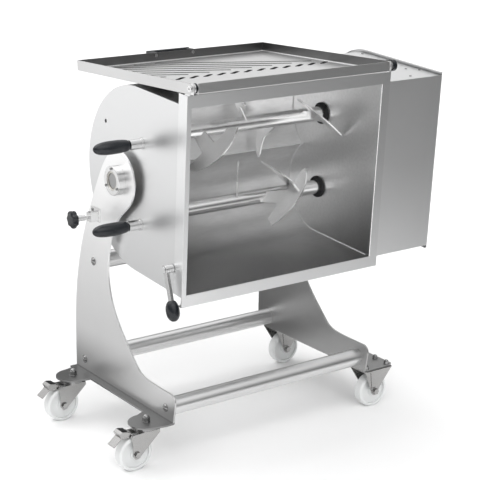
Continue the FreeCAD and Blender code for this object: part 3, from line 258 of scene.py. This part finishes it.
# %% Lamps
def sun(name, direction, strength, spread):
    """A far lamp; spread, in degrees, softens its shadow."""
    light = bpy.data.lights.new(name, "SUN")
    light.energy, light.angle = strength, math.radians(spread)
    lamp = bpy.data.objects.new(name, light)
    bpy.context.scene.collection.objects.link(lamp)
    lamp.rotation_mode = "QUATERNION"
    lamp.rotation_quaternion = (-Vector(direction)).to_track_quat("-Z", "Y")
    return lamp


sun("overhead", (-0.35, 0.45, 1.0), 0.80, 60)
fill = sun("front_fill", (-0.55, -0.8, 0.55), 1.0, 70)
fill.visible_glossy = False
print("two wide lamps")

# %% Sky
world = bpy.data.worlds.new("studio")
bpy.context.scene.world = world
world.use_nodes = True
sky = Board(world.node_tree)
x, y, z = sky.axes(sky.node("ShaderNodeTexCoord", {}, {}, "Generated"))
dark_side = (x * 0.57 - y * 0.82).above(0.1, 0.8)
window = (z * 0.6 - y * 0.8).above(0.72, 0.96)
overhead = z.above(0.35, 0.9)
behind = y.above(0.2, 0.9)
ALL_ROUND, BACKDROP = 0.30, 0.97
glow = ALL_ROUND - dark_side * 0.26 + overhead * 0.80 + behind * 0.58 + window * 0.9
seen = sky.node("ShaderNodeLightPath", {}, {}, "Is Camera Ray")
glow = glow * (1 - seen) + seen * BACKDROP
backdrop = world.node_tree.nodes["Background"]
backdrop.inputs["Color"].default_value = grey(1.0)
world.node_tree.links.new(glow.socket, backdrop.inputs["Strength"])
bpy.context.scene.view_settings.view_transform = "Standard"
print("sky with", len(world.node_tree.nodes), "nodes")

# %% [markdown]
# ## Blasted sheet
# The sheet of the bowl, the housing and the stand is blasted with glass beads, which leaves
# an even satin skin. Fine noise raises the skin, and two coarser ones cloud its grey where
# the hose was held longer. Each group of sheets gets its own grey, which keeps the joints
# between them apart and is set to how light or dark the group shows under the studio light,
# so these greys carry painted light and shade as well as the sheet's own tone.

# %% Blasted steel
CLOUDS, MOTTLE, SKIN = 5.0, 60.0, 900.0      # noise scales, from coarse to fine
SHEET_CORNER = 0.0012                        # radius that the light is rounded over
BEAD_RELIEF = 0.10


def bead_skin(paint, corner=SHEET_CORNER):
    """The finely pitted skin that glass beads leave."""
    paint.bump(paint.noise(SKIN, detail=2.0), BEAD_RELIEF, corner=corner)


def blasted(name, level, rough, warm=0.0, cloud=0.02, corner=SHEET_CORNER):
    """Even satin metal; cloud is how far its grey wanders."""
    paint = Paint(name, metallic=1.0)
    clouds = paint.noise(CLOUDS, detail=2.0)
    mix = clouds * 0.7 + paint.noise(MOTTLE) * 0.3
    paint.drive(Base_Color=paint.blend(mix, grey(level - cloud, warm), grey(level + cloud, warm)),
                Roughness=rough - 0.03 + clouds * 0.06)
    bead_skin(paint, corner)
    return paint.material


COOL = -0.004
sheet_steel = blasted("sheet_steel", 0.74, 0.36, COOL)
rim_steel = blasted("rim_steel", 0.79, 0.34, COOL)
shell_steel = blasted("shell_steel", 0.84, 0.36, COOL)
cover_steel = blasted("cover_steel", 0.56, 0.36, COOL)
# Near-black steel for the slot collars: painted shade inside the slots.
slot_steel = blasted("slot_steel", 0.14, 0.50, COOL, cloud=0.03, corner=0.0)
# The far stand plate is a darker copy of the stand sheet: painted shade on the plate that faces into shadow.
far_stand_steel = blasted("far_stand_steel", 0.44, 0.36)
tube_steel = blasted("tube_steel", 0.72, 0.30)
zinc = blasted("zinc_plate", 0.42, 0.22, warm=0.01, cloud=0.05)
print("blasted finishes")

# %% [markdown]
# ## Ground and turned steel
# Pins, housings, bolts and gears come from a lathe or a grinding belt, so their skin is
# streaked one way. The same noise does it, drawn out along one axis of the machine.

# %% Ground steel
STREAKS = 700.0
DRAWN_OUT = 0.03             # noise is this much coarser along the streaks
GROUND_CORNER, GROUND_RELIEF = 0.0008, 0.05


def ground(name, level, rough, along, warm=0.0):
    """Streaked steel; along is the axis that the streaks follow."""
    paint = Paint(name, metallic=1.0)
    stretch = tuple(DRAWN_OUT if axis == along else 1.0 for axis in "xyz")
    streaks = paint.noise(STREAKS, stretch, detail=4.0)
    clouds = paint.noise(6.0, detail=2.0)
    paint.drive(Base_Color=paint.blend(streaks, grey(level - 0.05, warm), grey(level + 0.05, warm)),
                Roughness=rough - 0.05 + streaks * 0.08 + clouds * 0.04)
    paint.bump(streaks, GROUND_RELIEF, corner=GROUND_CORNER)
    return paint.material


seam_steel = ground("seam_steel", 0.72, 0.20, "x")
turned_steel = ground("turned_steel", 0.70, 0.20, "x")
journal_steel = ground("journal_steel", 0.36, 0.34, "x")
bolt_steel = ground("bolt_steel", 0.34, 0.14, "z")
edge_steel = ground("edge_steel", 0.92, 0.12, "z")
gear_steel = ground("gear_steel", 0.38, 0.32, "x", warm=0.01)
print("ground finishes")

# %% [markdown]
# ## Sheet that changes from face to face
# On the lid the floor is bright, the inner faces of the walls are painted dark as shade and
# the outer faces at the left and front are painted lighter as painted light; on the near stand
# plate the bent flange is painted dark and the foot duller than the head, as painted shade.
# Two materials on one solid would need its faces sorted. A mask made from the place is shorter:
# where a height or a distance is passed, the grey changes.

# %% Lid and stand plate
WALL_FOOT = (-0.0130, -0.0100)               # heights over which the lid's floor becomes wall
# Shares of the floor grey on the outer faces at the left and front: painted light.
LIT_LEFT_FACE_SHARE, LIT_FRONT_LIP_SHARE = 0.62, 0.78
# Heights and share of the painted shade on the flange and towards the foot of the stand plate.
FLANGE_BEND, FOOT_SHADE_FADE, FOOT_SHADE_SHARE = (0.1302, 0.1345), (0.14, 0.28), 0.58


def lit_and_shaded_tray(name, floor_level, wall_shade_level):
    """Lid sheet: bright floor, inner walls painted dark as shade, outer faces at the left and front painted
    lighter as painted light.
    """
    paint = Paint(name, metallic=1.0)
    x, y, z = paint.axes(paint.local(LID.translation, TILT + LID_ANGLE))
    wall = z.above(*WALL_FOOT) * x.above(COVER_X + 0.0005, COVER_X + 0.0015)
    left_face = 1 - x.above(COVER_X, COVER_X + 0.0006)
    front_lip = 1 - y.above(-0.0005, 0.0005)
    clouds = paint.noise(CLOUDS, detail=2.0)
    # The inner walls take a painted shade, the left face and front lip a painted light.
    tone = paint.blend(wall, grey(floor_level), grey(wall_shade_level))
    tone = paint.blend(left_face, tone, grey(floor_level * LIT_LEFT_FACE_SHARE))
    tone = paint.blend(front_lip, tone, grey(floor_level * LIT_FRONT_LIP_SHARE))
    paint.drive(Base_Color=paint.blend(clouds * 0.1, tone, grey(wall_shade_level)),
                Roughness=0.27 + clouds * 0.05)
    bead_skin(paint)
    return paint.material


def shaded_plate_steel(name, level, flange_shade_level):
    """Stand sheet: flange painted dark and foot painted duller as painted shade, head bright."""
    paint = Paint(name, metallic=1.0)
    height = paint.axes(paint.place)[2]
    upright = height.above(*FLANGE_BEND)
    foot = paint.blend(height.above(*FOOT_SHADE_FADE), grey(level * FOOT_SHADE_SHARE), grey(level))
    clouds = paint.noise(CLOUDS, detail=2.0)
    # Painted shade: dark flange, and a duller foot towards the floor.
    tone = paint.blend(upright, grey(flange_shade_level), foot)
    paint.drive(Base_Color=paint.blend(clouds * 0.12, tone, grey(flange_shade_level)),
                Roughness=0.34 + clouds * 0.05)
    bead_skin(paint)
    return paint.material


lid_steel = lit_and_shaded_tray("lid_steel", 0.99, 0.17)
stand_steel = shaded_plate_steel("stand_steel", 0.97, 0.26)
print("lid and stand plate")

# %% [markdown]
# ## Inside the bowl
# The trough is painted dark at its bottom and light at its back and top, a painted shade and
# painted light laid over the place. Its upper left corner is much lighter than the rest, so the
# metal share drops there and the sheet scatters the light of the front lamp. The paddles have
# ground shafts and satin blades on one solid, told apart by the distance from the shaft's
# axis.

# %% Trough
def painted_shade_trough(name, low, high):
    """Trough sheet, from painted shade at its bottom to painted light at its back and top."""
    paint = Paint(name, metallic=1.0)
    x, y, z = paint.axes(paint.local(BOWL.translation, TILT))
    clouds = paint.noise(6.0, detail=2.0)
    swirl = paint.noise(120.0, (0.25, 1.0, 1.0))
    # Painted light towards the back and top, painted shade towards the bottom.
    painted_light = (z + x * 0.35 + y * 0.5 + clouds * 0.08).above(-0.31, 0.0)
    lightened_corner = (z - x * 0.5).above(0.04, 0.30)
    tone = paint.blend(painted_light, grey(low), grey(high))
    paint.drive(Base_Color=paint.blend(swirl * 0.25, tone, grey(low)),
                Roughness=0.40 - painted_light * 0.08 + swirl * 0.03, Metallic=1.0 - lightened_corner * 0.85)
    bead_skin(paint)
    return paint.material


trough_steel = painted_shade_trough("trough_steel", 0.27, 0.99)
print("trough")

# %% Paddles
SHAFT_Y, SHAFT_HALF = -0.042, 0.113          # the shafts lie this far over and under MID
SHAFT_EDGE = (0.0212, 0.0218)                # distances from the axis where blades begin


def paddle_steel(name, height):
    """Ground shaft, satin blades: the skin changes just outside the shaft."""
    paint = Paint(name, metallic=1.0)
    place = paint.local(BOWL @ Vector((0, SHAFT_Y, height)), TILT)
    flat = paint.node("ShaderNodeVectorMath", {"operation": "MULTIPLY"}, {0: place, 1: (0, 1, 1)})
    reach = paint.node("ShaderNodeVectorMath", {"operation": "LENGTH"}, {0: flat}, "Value")
    blade = reach.above(*SHAFT_EDGE)
    streaks = paint.noise(STREAKS, (DRAWN_OUT, 1.0, 1.0), 4.0)
    clouds = paint.noise(9.0, detail=2.0)
    skin = paint.noise(SKIN, detail=2.0)
    tone = paint.blend(blade, grey(0.99), grey(0.97))
    paint.drive(Base_Color=paint.blend(clouds * 0.5, tone, grey(0.84)),
                Roughness=0.20 + streaks * 0.06 + blade * 0.02)
    paint.bump(streaks * (1 - blade) + skin * blade, 0.04, corner=0.0009)
    return paint.material


upper_steel = paddle_steel("upper_paddle_steel", MID + SHAFT_HALF)
lower_steel = paddle_steel("lower_paddle_steel", MID - SHAFT_HALF)
print("paddles")

# %% [markdown]
# ## Plastics, rubber, bronze and paint
# The knobs and grips are glossy black mouldings, the wheels white nylon, the pads rubber. All
# get faint wear and a fine skin, so that no surface is one flat colour. The bush, the motor
# and the gearbox are castings, whose skin is pitted in grains.

# %% Other finishes
def moulded(name, colour, rough, grain, depth):
    """A plastic or rubber moulding with faint wear."""
    paint = Paint(name)
    wear = paint.noise(14.0, detail=4.0)
    skin = paint.noise(grain, detail=2.0)
    light = tuple(min(1.0, c * 1.06 + 0.003) for c in colour[:3]) + (1,)
    paint.drive(Base_Color=paint.blend(wear, colour, light), Roughness=rough + wear * 0.08)
    paint.bump(skin, depth)
    return paint.material


def cast(name, colour, rough, metallic):
    """A casting, bare or painted."""
    paint = Paint(name, metallic=metallic)
    clouds = paint.noise(9.0)
    dark = tuple(c * 0.9 for c in colour[:3]) + (1,)
    paint.drive(Base_Color=paint.blend(clouds, dark, colour), Roughness=rough + clouds * 0.08)
    paint.bump(paint.grains(420.0), 0.15, 0.0004)
    return paint.material


black_gloss = moulded("black_gloss", (0.006, 0.008, 0.011, 1), 0.20, 300.0, 0.03)
white_nylon = moulded("white_nylon", (0.70, 0.71, 0.71, 1), 0.38, 260.0, 0.06)
black_rubber = moulded("black_rubber", (0.014, 0.014, 0.015, 1), 0.62, 500.0, 0.2)
pale_bronze = cast("pale_bronze", (0.62, 0.60, 0.56, 1), 0.30, 1.0)
motor_paint = cast("motor_paint", (0.06, 0.11, 0.20, 1), 0.42, 0.0)
cast_alloy = cast("cast_alloy", (0.60, 0.61, 0.62, 1), 0.44, 1.0)
print("mouldings and castings")

# %% [markdown]
# ## Dressing the solids
# Every solid keeps its shape and place and only changes its material. One table says which
# finish goes on which nodes, and the last line tells if any node was forgotten.

# %% Give each node its finish
FINISH = {
    stand_steel: ["stand_plate_left"],
    far_stand_steel: ["stand_plate_right"],
    tube_steel: ["cross_tube_front", "cross_tube_rear", "cross_tube_upper"],
    sheet_steel: ["bowl_jacket", "end_cover_left", "bridge_frame", "housing_wall"],
    rim_steel: ["mouth_rim"],
    shell_steel: ["housing_shell"],
    cover_steel: ["housing_cover"],
    trough_steel: ["trough", "end_wall_left", "end_wall_right"],
    lid_steel: ["lid_tray"],
    upper_steel: ["paddle_shaft_upper"],
    lower_steel: ["paddle_shaft_lower"],
    turned_steel: ["pivot_housing_left", "pivot_housing_right", "index_block", "index_plunger",
                   "hinge_rod", "latch_lever", "grip_ferrules"],
    journal_steel: ["trunnion_left", "trunnion_right"],
    zinc: ["caster_fork_fl", "caster_fork_rl", "caster_fork_fr", "caster_fork_rr",
           "brake_lever_fl", "brake_lever_rl"],
    bolt_steel: ["tube_bolts", "stand_screws", "sheet_screws", "lid_handle_screws",
                 "caster_studs", "caster_fixings"],
    gear_steel: ["gear_upper", "gear_lower", "drive_pinion", "shaft_bearings"],
    pale_bronze: ["pivot_bushes"],
    black_gloss: ["index_knob", "latch_knob", "grips", "lid_handle", "hinge_knobs", "cable_gland"],
    white_nylon: ["caster_wheel_fl", "caster_wheel_rl", "caster_wheel_fr", "caster_wheel_rr"],
    black_rubber: ["shaft_seals", "lid_rest_pads"],
    motor_paint: ["motor"],
    cast_alloy: ["gearbox"],
}
for material, names in FINISH.items():
    for name in names:
        slots = NODES[name].data.materials
        slots.clear()
        slots.append(material)
left_over = sorted(set(NODES) - {n for names in FINISH.values() for n in names})
print(len(FINISH), "finishes in use; nodes with no finish:", left_over)

# %% [markdown]
# ## Grips and knobs
# On the machine these are mouldings with a soft outline. A lathe does it: a smooth curve is
# laid through a few radii and spun round the axis. The solids keep their simple shape for
# collision, and the lathed pieces stand in for them in the picture.

# %% A lathe
def soft_line(points, steps=6):
    """A smooth curve through (place, radius) points."""
    rows = []
    ends = [points[0]] + points + [points[-1]]
    for a, b, c, d in zip(ends, ends[1:], ends[2:], ends[3:]):
        for k in range(steps):
            u = k / steps
            rows.append(tuple(0.5 * (2 * q + (r - p) * u + (2 * p - 5 * q + 4 * r - s) * u ** 2
                                     + (3 * q - p - 3 * r + s) * u ** 3)
                              for p, q, r, s in zip(a, b, c, d)))
    return rows + [points[-1]]


def spin(bm, rows, matrix, lobes=0, hollow=0.0, around=56):
    """Adds (place, radius) rows, in millimetres, spun round x and then set by the matrix."""
    rings = []
    for place, radius in rows:
        ring = []
        for k in range(around if radius > 0.01 else 1):
            a = math.tau * k / around
            r = radius * MM * (1 - hollow + hollow * math.cos(lobes * a))
            ring.append(bm.verts.new(matrix @ Vector((place * MM, r * math.cos(a), r * math.sin(a)))))
        rings.append(ring)
    for low, high in zip(rings, rings[1:]):
        for k in range(around):
            n = k + 1
            corners = [low[k % len(low)], low[n % len(low)], high[n % len(high)], high[k % len(high)]]
            corners = list(dict.fromkeys(corners))
            if len(corners) > 2:
                bm.faces.new(corners)


print("lathe ready")

# %% From a bmesh to a piece
MERGE_DISTANCE, CREASE = 1e-6, math.radians(40)


def finish_piece(name, bm, material, body):
    """Makes a bmesh a smooth piece that rides on a body."""
    bmesh.ops.remove_doubles(bm, verts=bm.verts, dist=MERGE_DISTANCE)
    bmesh.ops.recalc_face_normals(bm, faces=bm.faces)
    mesh = bpy.data.meshes.new(name)
    bm.to_mesh(mesh)
    bm.free()
    mesh.shade_smooth()
    mesh.set_sharp_from_angle(angle=CREASE)
    mesh.materials.append(material)
    thing = bpy.data.objects.new(name, mesh)
    bpy.context.scene.collection.objects.link(thing)
    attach(thing, body)
    print(name, len(mesh.polygons), "faces")
    return thing


print("pieces can be finished")

# %% Grips on the left cover
GRIP_START = COVER_X - 0.040          # end of the ferrules
GRIP_Y = -0.085
GRIP_HEIGHTS = (0.122, -0.106)
GRIP_PROFILE = [(0, 11.0), (-3, 13.0), (-10, 15.6), (-28, 17.7), (-50, 18.3), (-70, 17.8),
                (-88, 15.4), (-99, 11.6), (-105, 7.0), (-107.6, 2.6), (-108, 0)]
bm = bmesh.new()
for height in GRIP_HEIGHTS:
    spin(bm, [(0, 0)] + soft_line(GRIP_PROFILE), BOWL @ Matrix.Translation((GRIP_START, GRIP_Y, height)))
grips = finish_piece("moulded_grips", bm, black_gloss, "bowl")
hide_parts("grips")

# %% [markdown]
# ## The latch knob
# The latch is a short lever that hangs at the lower left corner of the mouth and leans a
# little. Its knob has its axis along the lever, so the matrix follows the lever: to the
# pivot, by the lean, down the lever, and then the lathe's axis is turned to point down.

# %% Knob of the latch
LATCH_PIVOT = (-0.338, -0.251, -0.178)
LATCH_LEAN = math.radians(-20)
LATCH_REACH = 0.084
KNOB_PROFILE = [(0, 8.0), (4, 12.4), (14, 17.0), (27, 18.5), (40, 17.0), (49, 12.6), (54.4, 6.6),
                (56, 0)]
latch_end = (BOWL @ Matrix.Translation(LATCH_PIVOT) @ Matrix.Rotation(LATCH_LEAN, 4, "X")
             @ Matrix.Translation((0, 0, -LATCH_REACH)) @ Matrix.Rotation(math.radians(90), 4, "Y"))
bm = bmesh.new()
spin(bm, [(0, 0)] + soft_line(KNOB_PROFILE), latch_end)
knob = finish_piece("oval_latch_knob", bm, black_gloss, "latch")
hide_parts("latch_knob")

# %% [markdown]
# ## The index knob
# The pin that holds the bowl upright is pulled by a flat knob with seven finger hollows. The
# hollows are a wave on the radius, so that one rule makes all of them.

# %% Knob of the index pin
INDEX_PLACE = SHIFT + Vector((-0.339, 0.122, 0.629))
HOLLOWS, HOLLOW_DEPTH, AROUND = 7, 0.07, 84
INDEX_PROFILE = [(-90, 0.0), (-89.8, 13), (-88.6, 20), (-85.5, 24.6), (-81, 26), (-76, 25.6),
                 (-72, 22.6), (-70.2, 17), (-70, 11)]
INDEX_NECK = [(-66, 11), (-66, 0)]
bm = bmesh.new()
spin(bm, soft_line(INDEX_PROFILE) + INDEX_NECK, Matrix.Translation(INDEX_PLACE),
     HOLLOWS, HOLLOW_DEPTH, AROUND)
knob = finish_piece("scalloped_index_knob", bm, black_gloss, "index_pin")
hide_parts("index_knob")

# %% [markdown]
# ## Pieces that grow from a rule
# What repeats is made with Geometry Nodes. A tree has named inputs for its sizes, ends in
# Realize Instances and Set Material, and is read back as a plain mesh, so nothing live is
# left on the finished piece.

# %% A tree with named inputs
class Growth(Board):
    """A Geometry Nodes tree with named inputs."""

    def __init__(self, name, inputs):
        super().__init__(bpy.data.node_groups.new(name, "GeometryNodeTree"))
        face = self.tree.interface
        face.new_socket("Geometry", in_out="OUTPUT", socket_type="NodeSocketGeometry")
        self.keys = {}
        for key, kind in inputs.items():
            made = face.new_socket(key, in_out="INPUT", socket_type="NodeSocket" + kind)
            self.keys[key] = made.identifier
        entry = self.tree.nodes.new("NodeGroupInput")
        self.given = {key: Sum(self, entry.outputs[key]) for key in inputs}

    def close(self, geometry, material):
        """Ends the tree as plain geometry with its material."""
        real = self.node("GeometryNodeRealizeInstances", {}, {0: geometry})
        soft = self.node("GeometryNodeSetShadeSmooth", {}, {0: real})
        done = self.node("GeometryNodeSetMaterial", {}, {"Geometry": soft, "Material": material})
        end = self.tree.nodes.new("NodeGroupOutput")
        self.tree.links.new(done.socket, end.inputs[0])

    def grow(self, values):
        """The mesh that the tree gives for some input values."""
        seed = bpy.data.meshes.new(self.tree.name)
        thing = bpy.data.objects.new(self.tree.name, seed)
        bpy.context.scene.collection.objects.link(thing)
        modifier = thing.modifiers.new("growth", "NODES")
        modifier.node_group = self.tree
        for key, value in values.items():
            modifier[self.keys[key]] = value
        thing.update_tag()
        graph = bpy.context.evaluated_depsgraph_get()
        mesh = bpy.data.meshes.new_from_object(thing.evaluated_get(graph))
        thing.modifiers.clear()
        bpy.data.objects.remove(thing)
        return mesh


def gather(name, meshes, body):
    """Joins plain meshes of steel, each set by its matrix, into one piece on a body."""
    bm = bmesh.new()
    material = meshes[0][0].materials[0]
    for mesh, matrix in meshes:
        mesh.transform(matrix)
        bm.from_mesh(mesh)
    return finish_piece(name, bm, material, body)


print("growth ready")

# %% [markdown]
# ## Pressed slots of the lid
# The lid is a grid that lets spices in and keeps hands out. Its slots are pressed, so their
# edges turn down into short collars, and the collars are painted near black as painted shade,
# which makes the slots read as dark mouths. Every collar is the same curve swept round a slot
# of some length, so one tree with the length as its input makes them all.

# %% A node tree that presses slots
LIP_THICK, END_POINTS = 0.0016, 8
NEARLY_HALF = 0.499          # so that two fillets just fail to meet
collar = Growth("pressed_slot", {"Length": "Float", "Width": "Float", "Depth": "Float"})
length, width, depth = (collar.given[key] for key in ("Length", "Width", "Depth"))
outline = collar.node("GeometryNodeCurvePrimitiveQuadrilateral", {},
                      {"Width": length + width, "Height": width})
outline = collar.node("GeometryNodeFilletCurve", {"mode": "POLY"},
                      {"Curve": outline, "Radius": width * NEARLY_HALF, "Count": END_POINTS})
lip = collar.node("GeometryNodeCurvePrimitiveQuadrilateral", {},
                  {"Width": LIP_THICK, "Height": depth})
swept = collar.node("GeometryNodeCurveToMesh", {},
                    {"Curve": outline, "Profile Curve": lip, "Fill Caps": False})
collar.close(swept, slot_steel)
print("slot tree:", len(collar.tree.nodes), "nodes")

# %% The two rows of slots
LID_RIGHT, LID_BACK = 0.328, 0.590
LID_FLOOR = -0.0155                   # underside of the lid's floor, from the hinge rod
COLLAR_DEPTH, COLLAR_TOP = 0.0065, LID_FLOOR + 0.0024
SLOT_LEN, SLOT_WIDTH, SLOT_PITCH, SLOT_COUNT = 0.036, 0.0118, 0.0445, 12
SLOT_X, SLOT_Y, SLOT_ANGLE = COVER_X + 0.015 + 0.096, 0.236, math.radians(35)
SLAT_WIDTH, SLAT_PITCH, SLAT_COUNT = 0.0088, 0.071, 9
SLAT_X, SLAT_Y, SLAT_ANGLE = LID_RIGHT - 0.040, 0.300, math.radians(145)
BORDER = 0.034                        # between a slat's end and the lid's edge


def slot_place(start_x, start_y, angle, length):
    """A collar is drawn round its middle; the slot starts at one end."""
    return (LID @ Matrix.Translation((start_x, start_y, COLLAR_TOP - COLLAR_DEPTH / 2))
            @ Matrix.Rotation(angle, 4, "Z") @ Matrix.Translation((length / 2, 0, 0)))


collars = []
for k in range(SLOT_COUNT):
    mesh = collar.grow({"Length": SLOT_LEN, "Width": SLOT_WIDTH, "Depth": COLLAR_DEPTH})
    collars.append((mesh, slot_place(SLOT_X + k * SLOT_PITCH, SLOT_Y, SLOT_ANGLE, SLOT_LEN)))
for k in range(SLAT_COUNT):
    start_x = SLAT_X - k * SLAT_PITCH
    run_x = (start_x - (COVER_X + BORDER)) / -math.cos(SLAT_ANGLE)
    run_y = (LID_BACK - BORDER - SLAT_Y) / math.sin(SLAT_ANGLE)
    run = min(run_x, run_y)
    mesh = collar.grow({"Length": run, "Width": SLAT_WIDTH, "Depth": COLLAR_DEPTH})
    collars.append((mesh, slot_place(start_x, SLAT_Y, SLAT_ANGLE, run)))
gather("pressed_slot_edges", collars, "lid")

# %% [markdown]
# ## Weld seams
# The trough is rolled sheet welded to flat end walls, and its two halves meet in a ridge. A
# weld bead is a row of small overlapping drops. Geometry Nodes set a flattened drop on each
# point of a path, so the same tree serves the arcs at the walls and the straight ridge.

# %% A node tree that lays a bead
bead = Growth("weld_bead", {"Path": "Object", "Pitch": "Float", "Size": "Float"})
path = bead.node("GeometryNodeObjectInfo", {}, {"Object": bead.given["Path"]}, "Geometry")
points = bead.node("GeometryNodeResampleCurve", {"mode": "LENGTH"},
                   {"Curve": path, "Length": bead.given["Pitch"]})
tangent = bead.node("GeometryNodeInputTangent", {}, {})
turn = bead.node("FunctionNodeAlignRotationToVector", {"axis": "X"}, {"Vector": tangent})
drop = bead.node("GeometryNodeMeshUVSphere", {}, {"Segments": 8, "Rings": 4,
                                                  "Radius": bead.given["Size"]})
laid = bead.node("GeometryNodeInstanceOnPoints", {}, {"Points": points, "Instance": drop,
                                                      "Rotation": turn, "Scale": (1.0, 1.0, 0.8)})
bead.close(laid, seam_steel)
print("bead tree:", len(bead.tree.nodes), "nodes")

# %% Along a path
BEAD_SIZE, BEAD_STEP = 0.0016, 1.5    # radius of a drop, and the pitch in such radii


def path_object(name, points):
    """A polyline curve for a seam or bar to follow."""
    curve = bpy.data.curves.new(name, "CURVE")
    curve.dimensions = "3D"
    line = curve.splines.new("POLY")
    line.points.add(len(points) - 1)
    for spot, point in zip(line.points, points):
        spot.co = (*point, 1)
    thing = bpy.data.objects.new(name, curve)
    bpy.context.scene.collection.objects.link(thing)
    return thing


def weld(name, points, matrix, body, size=BEAD_SIZE):
    """A bead along the points, as one piece."""
    guide = path_object(name + "_path", points)
    mesh = bead.grow({"Path": guide, "Pitch": size * BEAD_STEP, "Size": size})
    bpy.data.objects.remove(guide)
    return gather(name, [(mesh, matrix)], body)


print("welder ready")

# %% Seams of the trough
TROUGH_R = 0.141
WALL_L, WALL_R = -0.304, 0.325        # inner faces of the end walls
TROUGH_LIP_Y = -0.280                 # front end of the rolled sheet
RIDGE_Y = SHAFT_Y + math.sqrt(TROUGH_R ** 2 - SHAFT_HALF ** 2)
HALF_TURN = math.degrees(math.acos(-SHAFT_HALF / TROUGH_R))
ARC_STEPS = 32
SEAM_IN, RIDGE_BEAD = 0.001, 0.0018
SEAM_X = {"left": WALL_L + 0.0025, "right": WALL_R - 0.0005}
RIDGE_ENDS = (WALL_L + 0.003, WALL_R - 0.001)


def trough_line(x, radius):
    """The two lobes in section, from the top of the mouth round to the bottom."""
    line = [(x, TROUGH_LIP_Y, MID + SHAFT_HALF + radius)]
    for side in (1, -1):
        arc = []
        for k in range(ARC_STEPS + 1):
            a = math.radians(90 - HALF_TURN * k / ARC_STEPS)
            arc.append((x, SHAFT_Y + radius * math.cos(a), MID + side * (SHAFT_HALF + radius * math.sin(a))))
        line += arc if side == 1 else arc[::-1]
    return line + [(x, TROUGH_LIP_Y, MID - SHAFT_HALF - radius)]


for tag, x in SEAM_X.items():
    weld("trough_seam_" + tag, trough_line(x, TROUGH_R - SEAM_IN), BOWL, "bowl")
weld("trough_ridge", [(x, RIDGE_Y, MID) for x in RIDGE_ENDS], BOWL, "bowl", RIDGE_BEAD)

# %% [markdown]
# ## The edge of the mouth
# Hands and the lid meet the inner edge of the frame, so it is rounded, and at the right it is
# polished too. A thin round bar along the edge does that: being round, it always finds
# something bright to show. The bars at the top and bottom are thinner and plain.

# %% Edge of the mouth
def bar(name, points, radius, matrix, material, body):
    """A round bar along a few points, as a plain mesh."""
    guide = path_object(name + "_path", points)
    guide.data.bevel_depth = radius
    guide.data.bevel_resolution = 4
    guide.data.use_fill_caps = True
    graph = bpy.context.evaluated_depsgraph_get()
    mesh = bpy.data.meshes.new_from_object(guide.evaluated_get(graph))
    bpy.data.objects.remove(guide)
    mesh.materials.clear()
    mesh.materials.append(material)
    return gather(name, [(mesh, matrix)], body)


MOUTH_Y, HALF_MOUTH = -0.2985, 0.254
SUNK = 0.0002                         # a bar's middle lies this far inside the opening
POLISHED_RADIUS, PLAIN_RADIUS = 0.0017, 0.0008
side_x = WALL_R - SUNK
bar("mouth_edge_right", [(side_x, MOUTH_Y, MID - HALF_MOUTH), (side_x, MOUTH_Y, MID + HALF_MOUTH)],
    POLISHED_RADIUS, BOWL, edge_steel, "bowl")
for tag, side in (("top", 1), ("low", -1)):
    edge_z = MID + side * (HALF_MOUTH - SUNK)
    bar("mouth_edge_" + tag, [(WALL_L, MOUTH_Y, edge_z), (WALL_R, MOUTH_Y, edge_z)],
        PLAIN_RADIUS, BOWL, sheet_steel, "bowl")

# %% [markdown]
# ## Treads of the brake levers
# A toe presses the lever, so its end gets a black ribbed pad. The pad and its ribs are small
# blocks: five ribs on each of two pads are too few to be worth a node tree.

# %% Brake treads
KINGPINS = {"fl": (-0.390, -0.206), "rl": (-0.390, 0.210)}
TREAD_REACH, TREAD_Z, TREAD_SLOPE = 0.075, 0.1227, math.radians(12.5)
PAD_SIZE = (0.017, 0.027, 0.0016)
RIB_SIZE, RIB_PITCH, RIB_COUNT, RIB_RISE = (0.0016, 0.025, 0.0016), 0.0034, 5, 0.0012


def block(bm, size, matrix):
    """Adds a small box, set by the matrix."""
    made = bmesh.ops.create_cube(bm, size=1.0)
    bmesh.ops.transform(bm, matrix=matrix @ Matrix.Diagonal((*size, 1)), verts=made["verts"])


for tag, (x0, y0) in KINGPINS.items():
    seat = (Matrix.Translation(SHIFT + Vector((x0 - TREAD_REACH, y0, TREAD_Z)))
            @ Matrix.Rotation(TREAD_SLOPE, 4, "Y"))
    bm = bmesh.new()
    block(bm, PAD_SIZE, seat)
    for k in range(RIB_COUNT):
        along = (k - (RIB_COUNT - 1) / 2) * RIB_PITCH
        block(bm, RIB_SIZE, seat @ Matrix.Translation((along, 0, RIB_RISE)))
    finish_piece("brake_tread_" + tag, bm, black_rubber, "brake_" + tag)
